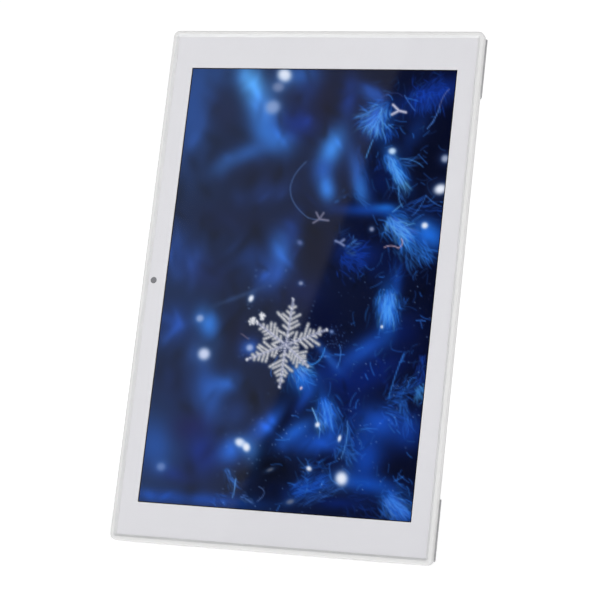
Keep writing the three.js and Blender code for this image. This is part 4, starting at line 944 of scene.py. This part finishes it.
def build_cover():
    levels = [(8.9, 2.18), (9.3, 2.62), (9.62, 3.15), (9.87, 3.8),
              (10.05, 4.55), (10.15, 5.3), (COVER_BACK, 6.2)]
    outside = [(COVER_FRONT + 0.12, 0.1), (6.6, 1.05), (8.3, 1.86)] + levels
    profile = [(y, HALF_W - inset, HALF_H - inset, CORNER + inset * 0.5) for y, inset in reversed(outside)]
    profile += [
        (COVER_FRONT, HALF_W - 0.25, HALF_H - 0.25, CORNER),
        (COVER_FRONT, 78.3, 126.2, 1.5),
        (3.2, 78.3, 126.2, 1.5),
        (3.2, HALF_W - 2.9, HALF_H - 2.9, 4.4),
        (8.2, HALF_W - 3, HALF_H - 3, 4.5),
        (8.7, HALF_W - 3.7, HALF_H - 3.7, 4.8),
        (COVER_INSIDE, HALF_W - 4.8, HALF_H - 4.8, 5.4),
    ]
    bm = bmesh.new()
    skin(bm, frame_rings(profile, 12))
    cover = to_object(bm, "rear_cover_shell", "white_shell")
    cuts = bmesh.new()
    rod(cuts, HUB_R + 0.3, 8, 12, 0, CENTRE_Z, 64)
    for z in SPEAKER_ROWS:
        for row in range(3):
            for column in range(-2, 3):
                rod(cuts, GRILLE_R, 8, 11, SPEAKER_X + row * GRILLE_PITCH, z + column * GRILLE_PITCH, 14)
    for sx in (-1, 1):
        for sz in (-1, 1):
            spot = (sx * POST_X, CENTRE_Z + sz * POST_Z)
            lathe(cuts, [(SCREW_HOLE_R, 8), (SCREW_HOLE_R, 9.5), (2.2, 9.5), (2.2, 10.05),
                         (2.5, 10.25), (2.5, 11)], *spot, 28)
        upright_foot(cuts, sx, 0.1)
    for sz in (-1, 1):
        side_foot(cuts, sz, 0.1)
    for z, length in ((POWER_Z, POWER_LEN), (VOLUME_Z, VOLUME_LEN)):
        outline = stadium(length / 2 + 0.2, KEY_HALF_H + 0.2)
        skin(cuts, [[(x, KEY_Y + b, z + a) for a, b in outline] for x in (-82, -74)])
    for outline, x, y in ((stadium(4.9, 1.9), USB_X, USB_Y), (stadium(6, 0.6), CARD_X, CARD_Y)):
        skin(cuts, [edge_ring(outline, x, y, z) for z in (250, 260)])
    combine(cover, [to_object(cuts, "cover_tool", "white_shell")])
    finish_piece(cover, "body", "white_shell", "rear_cover")


def build_cover_screws():
    corners = [(sx, sz) for sx in (-1, 1) for sz in (-1, 1)]
    for number, (sx, sz) in enumerate(corners, 1):
        x, z = sx * POST_X, CENTRE_Z + sz * POST_Z
        bm = bmesh.new()
        lathe(bm, [(0.001, 4.2), (0.8, 4.2), (1, 4.5), (1, 9.62), (1.85, 9.62), (2, 9.72), (1.98, 9.95),
                   (1.6, 10.1), (0.9, 10.15), (0.001, 10.15)], x, z, 32)
        screw = to_object(bm, f"cover_screw_{number}_head", "steel")
        bars = []
        for across, up in ((1.15, 0.24), (0.24, 1.15)):
            bar = bmesh.new()
            block(bar, (x - across, x + across), (9.72, 10.6), (z - up, z + up))
            bars.append(to_object(bar, "cross_tool", "steel"))
        combine(screw, bars)
        finish_piece(screw, "body", "steel", f"cover_screw_{number}")


def build_feet():
    for name, sx in (("left", -1), ("right", 1)):
        bm = bmesh.new()
        upright_foot(bm, sx)
        foot = to_object(bm, f"upright_foot_{name}_pad", "grey_rubber")
        bevel(foot, 0.2)
        finish_piece(foot, "body", "grey_rubber", f"upright_foot_{name}")
    for name, sz in (("lower", -1), ("upper", 1)):
        bm = bmesh.new()
        side_foot(bm, sz)
        foot = to_object(bm, f"side_foot_{name}_strip", "grey_rubber")
        bevel(foot, 0.15)
        finish_piece(foot, "body", "grey_rubber", f"side_foot_{name}")


def build_keys():
    for name, body, z, length in (("power_button", "power_key", POWER_Z, POWER_LEN),
                                  ("volume_rocker", "volume_key", VOLUME_Z, VOLUME_LEN)):
        bm = bmesh.new()
        levels = [(KEY_ROOT, 0), (KEY_FACE + 0.3, 0), (KEY_FACE + 0.12, 0.05),
                  (KEY_FACE + 0.03, 0.16), (KEY_FACE, 0.34)]
        rings = []
        for x, inset in levels:
            outline = stadium(length / 2 - inset, KEY_HALF_H - inset)
            rings.append([(x, KEY_Y + b, z + a) for a, b in outline])
        skin(bm, rings)
        key = to_object(bm, f"{name}_cap", "white_shell")
        flange = bmesh.new()
        reach = length / 2 + 0.7
        block(flange, FLANGE, (KEY_Y - 1.5, KEY_Y + 1.5), (z - reach, z + reach))
        combine(key, [to_object(flange, "flange_tool", "white_shell")], "UNION")
        marks = bmesh.new()
        deep = (KEY_FACE - 1, KEY_FACE + 0.08)
        if name == "volume_rocker":
            block(marks, deep, (KEY_Y - 0.09, KEY_Y + 0.09), (z + 6.4, z + 7.6))
            block(marks, deep, (KEY_Y - 0.09, KEY_Y + 0.09), (z - 7.6, z - 6.4))
            upright = bmesh.new()
            block(upright, deep, (KEY_Y - 0.55, KEY_Y + 0.55), (z + 6.91, z + 7.09))
            combine(key, [to_object(marks, "marks_a", "white_shell"),
                          to_object(upright, "marks_b", "white_shell")])
        else:
            block(marks, deep, (KEY_Y - 0.35, KEY_Y + 0.35), (z - 0.35, z + 0.35))
            combine(key, [to_object(marks, "marks_a", "white_shell")])
        finish_piece(key, body, "white_shell", name)


def build_usb_port():
    bm = bmesh.new()
    outer, inner = stadium(4.5, 1.6), stadium(4.2, 1.3)
    rings = [(outer, USB_LOW), (outer, USB_HIGH - 0.1), (stadium(4.42, 1.52), USB_HIGH),
             (stadium(4.28, 1.38), USB_HIGH), (inner, USB_HIGH - 0.1), (inner, USB_LOW + 1)]
    skin(bm, [edge_ring(ring, USB_X, USB_Y, z) for ring, z in rings])
    finish_piece(to_object(bm, "usb_port_shell", "steel"), "body", "steel", "usb_port")
    bm = bmesh.new()
    rings = [(stadium(3.3, 0.35, 4), USB_LOW + 0.9), (stadium(3.3, 0.35, 4), USB_HIGH - 1.1),
             (stadium(3.1, 0.2, 4), USB_HIGH - 0.9)]
    skin(bm, [edge_ring(ring, USB_X, USB_Y, z) for ring, z in rings])
    finish_piece(to_object(bm, "usb_port_tongue", "black_plastic"), "body", "black_plastic", "usb_port")
    bm = bmesh.new()
    for i in range(8):
        x = USB_X - 2.45 + i * 0.7
        for y in (6.62, 7.33):
            block(bm, (x - 0.14, x + 0.14), (y, y + 0.05), (USB_HIGH - 4.2, USB_HIGH - 1.3))
    contacts = to_object(bm, "usb_port_contacts", "steel")
    contacts.data.materials.clear()
    contacts.data.materials.append(GOLD)
    finish_piece(contacts, "body", "steel", "usb_port")


# ---------------------------------------------------------------- turning stand


def build_disc():
    profile = [(0.001, 8.75), (HUB_R - 0.3, 8.75), (HUB_R, 9.0), (HUB_R, DISC_FRONT),
               (DISC_R - 0.9, DISC_FRONT), (DISC_R - 0.25, 10.7), (DISC_R, 11.2), (DISC_R, 13.4)]
    rim = arc((DISC_R - 2.1, 13.4), 2.1, 0, 90, 10)
    profile += rim[1:] + [(30, DISC_BACK), (0.001, DISC_BACK)]
    bm = bmesh.new()
    lathe(bm, profile, 0, CENTRE_Z, 128)
    disc = to_object(bm, "swivel_disc_body", "white_shell", sharp=25)
    cuts = bmesh.new()
    half = LEG_W + 0.3
    ends = [(-half, 80), (half, 80)]
    top = CENTRE_Z + 2.6
    outline = ends + arc((half - 1, top - 1), 1, 0, 90, 5) + arc((1 - half, top - 1), 1, 90, 180, 5)
    skin(cuts, [[(x, y, z) for x, z in outline] for y in (DISC_FLOOR, DISC_BACK + 1)])
    pin = bmesh.new()
    cross_rod(pin, PIN_HOLE_R, PIN_HALF + 0.2, PIVOT_DEPTH, CENTRE_Z)
    combine(disc, [to_object(cuts, "channel_tool", "white_shell"),
                   to_object(pin, "pin_tool", "white_shell")], sharp=25)
    finish_piece(disc, "swivel", "white_shell", "swivel_disc")

    bm = bmesh.new()
    cross_rod(bm, PIN_R, PIN_HALF, PIVOT_DEPTH, CENTRE_Z, 32)
    pin = to_object(bm, "leg_hinge_pin_rod", "steel")
    bevel(pin, 0.15)
    finish_piece(pin, "swivel", "steel", "leg_hinge_pin")


def leg_outline(steps=12):
    """Half widths down the leg: full at the hinge, easing in to the tip."""
    points = [(LEG_W, 0.0), (LEG_W, -TAPER_START)]
    for i in range(1, steps + 1):
        t = i / steps
        ease = t * t * (3 - 2 * t)
        points.append((LEG_W + (LEG_TIP_W - LEG_W) * ease, -TAPER_START - TAPER_LEN * t))
    points.append((LEG_TIP_W, -LEG_END))
    return points


def build_leg():
    half = LEG_THICK / 2
    outline = leg_outline()
    sides = [(x, z) for x, z in outline] + [(-x, z) for x, z in reversed(outline)]
    bm = bmesh.new()
    skin(bm, [[(x, y, z) for x, z in sides] for y in (-half, half)])
    leg = to_object(bm, "stand_leg_blade", "white_shell", LEG_SPACE)
    bevel(leg, 0.5, 4, 50)
    barrel, recess, hole = bmesh.new(), bmesh.new(), bmesh.new()
    cross_rod(barrel, half, LEG_W, 0, 0, 48)
    cross_rod(hole, PIN_HOLE_R, LEG_W + 1, 0, 0, 32)
    scoop = rounded_rectangle(RECESS_W, RECESS_H, RECESS_R, (0, RECESS_Z), 12)
    skin(recess, [[(x, y, z) for x, z in scoop] for y in (half - 0.5, half + 1)])
    tools = [to_object(recess, "recess_tool", "white_shell", LEG_SPACE),
             to_object(hole, "hole_tool", "white_shell", LEG_SPACE)]
    combine(leg, [to_object(barrel, "barrel_tool", "white_shell", LEG_SPACE)], "UNION")
    combine(leg, tools)
    finish_piece(leg, "leg", "white_shell", "stand_leg")

    bm = bmesh.new()
    rings = []
    ribs, sides = 24, 96
    ends = ((12.8, 0), (13.4, 0.12), (13.8, 0.4), (14, 0.8))
    for x, shrink in [(-x, shrink) for x, shrink in reversed(ends)] + list(ends):
        ring = []
        for i in range(sides):
            angle = 2 * math.pi * i / sides
            groove = 0.12 * max(0.0, math.cos(ribs * angle)) ** 6
            radius = FOOT_R - shrink - groove
            ring.append((x, radius * math.cos(angle), -LEG_LEN + radius * math.sin(angle)))
        rings.append(ring)
    skin(bm, rings)
    foot = to_object(bm, "leg_foot_sleeve", "grey_rubber", LEG_SPACE, 40)
    tool = bmesh.new()
    block(tool, (-20, 20), (-5, 5), (-LEG_END - 0.1, 0))
    combine(foot, [to_object(tool, "shoulder_tool", "grey_rubber", LEG_SPACE)], sharp=40)
    finish_piece(foot, "leg", "grey_rubber", "leg_foot")


# ---------------------------------------------------------------- studio


FLOOR_REACH = 6.0
# The floor's painted light: the distances in metres from the origin over which its glow rises, and the glow
# strengths at either end.
FLOOR_FADE, FLOOR_GLOW = (0.06, 0.30), (0.47, 0.68)


def build_floor():
    """A pale sheet that glows a little by its own emission, painted light so that it reads as white, and glows
    more away from the frame, so that it is darker near it.
    """
    bm = bmesh.new()
    bmesh.ops.create_grid(bm, x_segments=24, y_segments=24, size=FLOOR_REACH)
    mesh = bpy.data.meshes.new("studio_floor")
    bm.to_mesh(mesh)
    bm.free()
    floor = bpy.data.objects.new("studio_floor", mesh)
    bpy.context.scene.collection.objects.link(floor)
    material = surface("studio_floor", (0.93, 0.93, 0.93), (0.915, 0.915, 0.918), 0.7, 0.02, 300, 3)
    shader = material.node_tree.nodes["Principled BSDF"]
    shader.inputs["Emission Color"].default_value = (1, 1, 1, 1)
    nodes, links = material.node_tree.nodes, material.node_tree.links
    position = nodes.new("ShaderNodeNewGeometry")
    distance = nodes.new("ShaderNodeVectorMath")
    distance.operation = "LENGTH"
    links.new(position.outputs["Position"], distance.inputs[0])
    # Painted light: the floor glows by emission, less near the frame, so the floor is darker there.
    glow = map_range(nodes, links, distance.outputs["Value"], FLOOR_FADE, FLOOR_GLOW)
    links.new(glow, shader.inputs["Emission Strength"])
    mesh.materials.append(material)


def area_light(name, place_at, target, size, power):
    light = bpy.data.lights.new(name, "AREA")
    light.shape = "RECTANGLE"
    light.size, light.size_y = size
    light.energy = power
    obj = bpy.data.objects.new(name, light)
    bpy.context.scene.collection.objects.link(obj)
    obj.location = place_at
    aim = Vector(target) - Vector(place_at)
    obj.rotation_euler = aim.to_track_quat("-Z", "Y").to_euler()
    obj.visible_glossy = False
    obj.visible_camera = False


# Where the edge of the paler part of the card is mirrored in the glass, from the screen's centre.
VEIL_TOP, VEIL_LOW = (0.0412, 0.1085), (-0.0080, -0.0785)
# Where the card ends, in degrees from its centre, and how high the white horizon reaches.
CARD_EDGE, HORIZON = (50, 32), (3, 20)


def build_world(screen_centre, camera_at):
    """Soft grey above a white horizon, with a card in front of the glass, dark but for one part."""
    world = bpy.data.worlds.new("studio")
    bpy.context.scene.world = world
    world.use_nodes = True
    nodes, links = world.node_tree.nodes, world.node_tree.links
    nodes.clear()
    output = nodes.new("ShaderNodeOutputWorld")
    background = nodes.new("ShaderNodeBackground")
    coords = nodes.new("ShaderNodeTexCoord")

    def facing(direction, low, high):
        dot = nodes.new("ShaderNodeVectorMath")
        dot.operation = "DOT_PRODUCT"
        links.new(coords.outputs["Generated"], dot.inputs[0])
        dot.inputs[1].default_value = direction
        return map_range(nodes, links, dot.outputs["Value"], (low, high), blend="SMOOTHSTEP")

    mirrored = camera_at - 2 * (camera_at - screen_centre).dot(BACK) * BACK
    edge_top = screen_centre + RIGHT * VEIL_TOP[0] + UP * VEIL_TOP[1]
    edge_low = screen_centre + RIGHT * VEIL_LOW[0] + UP * VEIL_LOW[1]
    across = (edge_top - mirrored).cross(edge_low - mirrored).normalized()
    if across.x > 0:
        across.negate()
    card_centre = (screen_centre - mirrored).normalized()
    dark_card = facing(card_centre, *(math.cos(math.radians(angle)) for angle in CARD_EDGE))
    veil = facing(across, -0.001, 0.004)
    card = mix_colours(nodes, links, veil, (0.015, 0.015, 0.02), (0.36, 0.36, 0.352))
    mix = nodes.new("ShaderNodeMix")
    mix.data_type = "RGBA"
    links.new(dark_card, mix.inputs["Factor"])
    above = facing((0, 0, 1), *(math.sin(math.radians(angle)) for angle in HORIZON))
    room = mix_colours(nodes, links, above, (1.05, 1.05, 1.05), (0.45, 0.45, 0.455))
    links.new(room, mix.inputs["A"])
    links.new(card, mix.inputs["B"])
    links.new(mix.outputs["Result"], background.inputs["Color"])
    background.inputs["Strength"].default_value = 1.0
    links.new(background.outputs["Background"], output.inputs["Surface"])


CAMERA_LENS = 138.86
CAMERA_FROM_SCREEN = Vector((0.3667, -1.0359, 0.1292))
CAMERA_LOOK = Vector((-0.3298, 0.9360, -0.1230))
# Name, place in metres, size in metres, power in watts.
SOFTBOXES = [
    ("front_softbox", (0.0, -1.8, 0.4), (1.6, 0.9), 24),
    ("right_softbox", (1.6, -0.3, 1.0), (1.2, 1.2), 3),
    ("top_softbox", (0.1, 0.5, 2.0), (1.6, 1.6), 2),
]


def build_camera_and_light():
    screen_centre = ORIGIN + UP * CENTRE_Z * MM
    camera = bpy.data.cameras.new("camera")
    camera.sensor_width = 36
    camera.lens = CAMERA_LENS
    camera.clip_end = 50
    obj = bpy.data.objects.new("camera", camera)
    bpy.context.scene.collection.objects.link(obj)
    obj.location = screen_centre + CAMERA_FROM_SCREEN
    obj.rotation_euler = CAMERA_LOOK.to_track_quat("-Z", "Y").to_euler()
    bpy.context.scene.camera = obj
    build_world(screen_centre, obj.location.copy())
    for name, place_at, size, power in SOFTBOXES:
        area_light(name, place_at, screen_centre, size, power)
    bpy.context.scene.view_settings.view_transform = "Standard"


# ---------------------------------------------------------------- assemble

CAD_FINISHES = {entry["node"]: entry["material_slot"] for entry in frame["record"]["subparts"]}
for node_name, cad_object in frame["nodes"].items():
    cad_object.data.materials.clear()
    cad_object.data.materials.append(MATERIALS[CAD_FINISHES[node_name]])

build_camera_and_light()
build_floor()
build_front()
build_camera()
build_screen()
build_ring()
build_cover()
build_cover_screws()
build_feet()
build_keys()
build_usb_port()
build_disc()
build_leg()
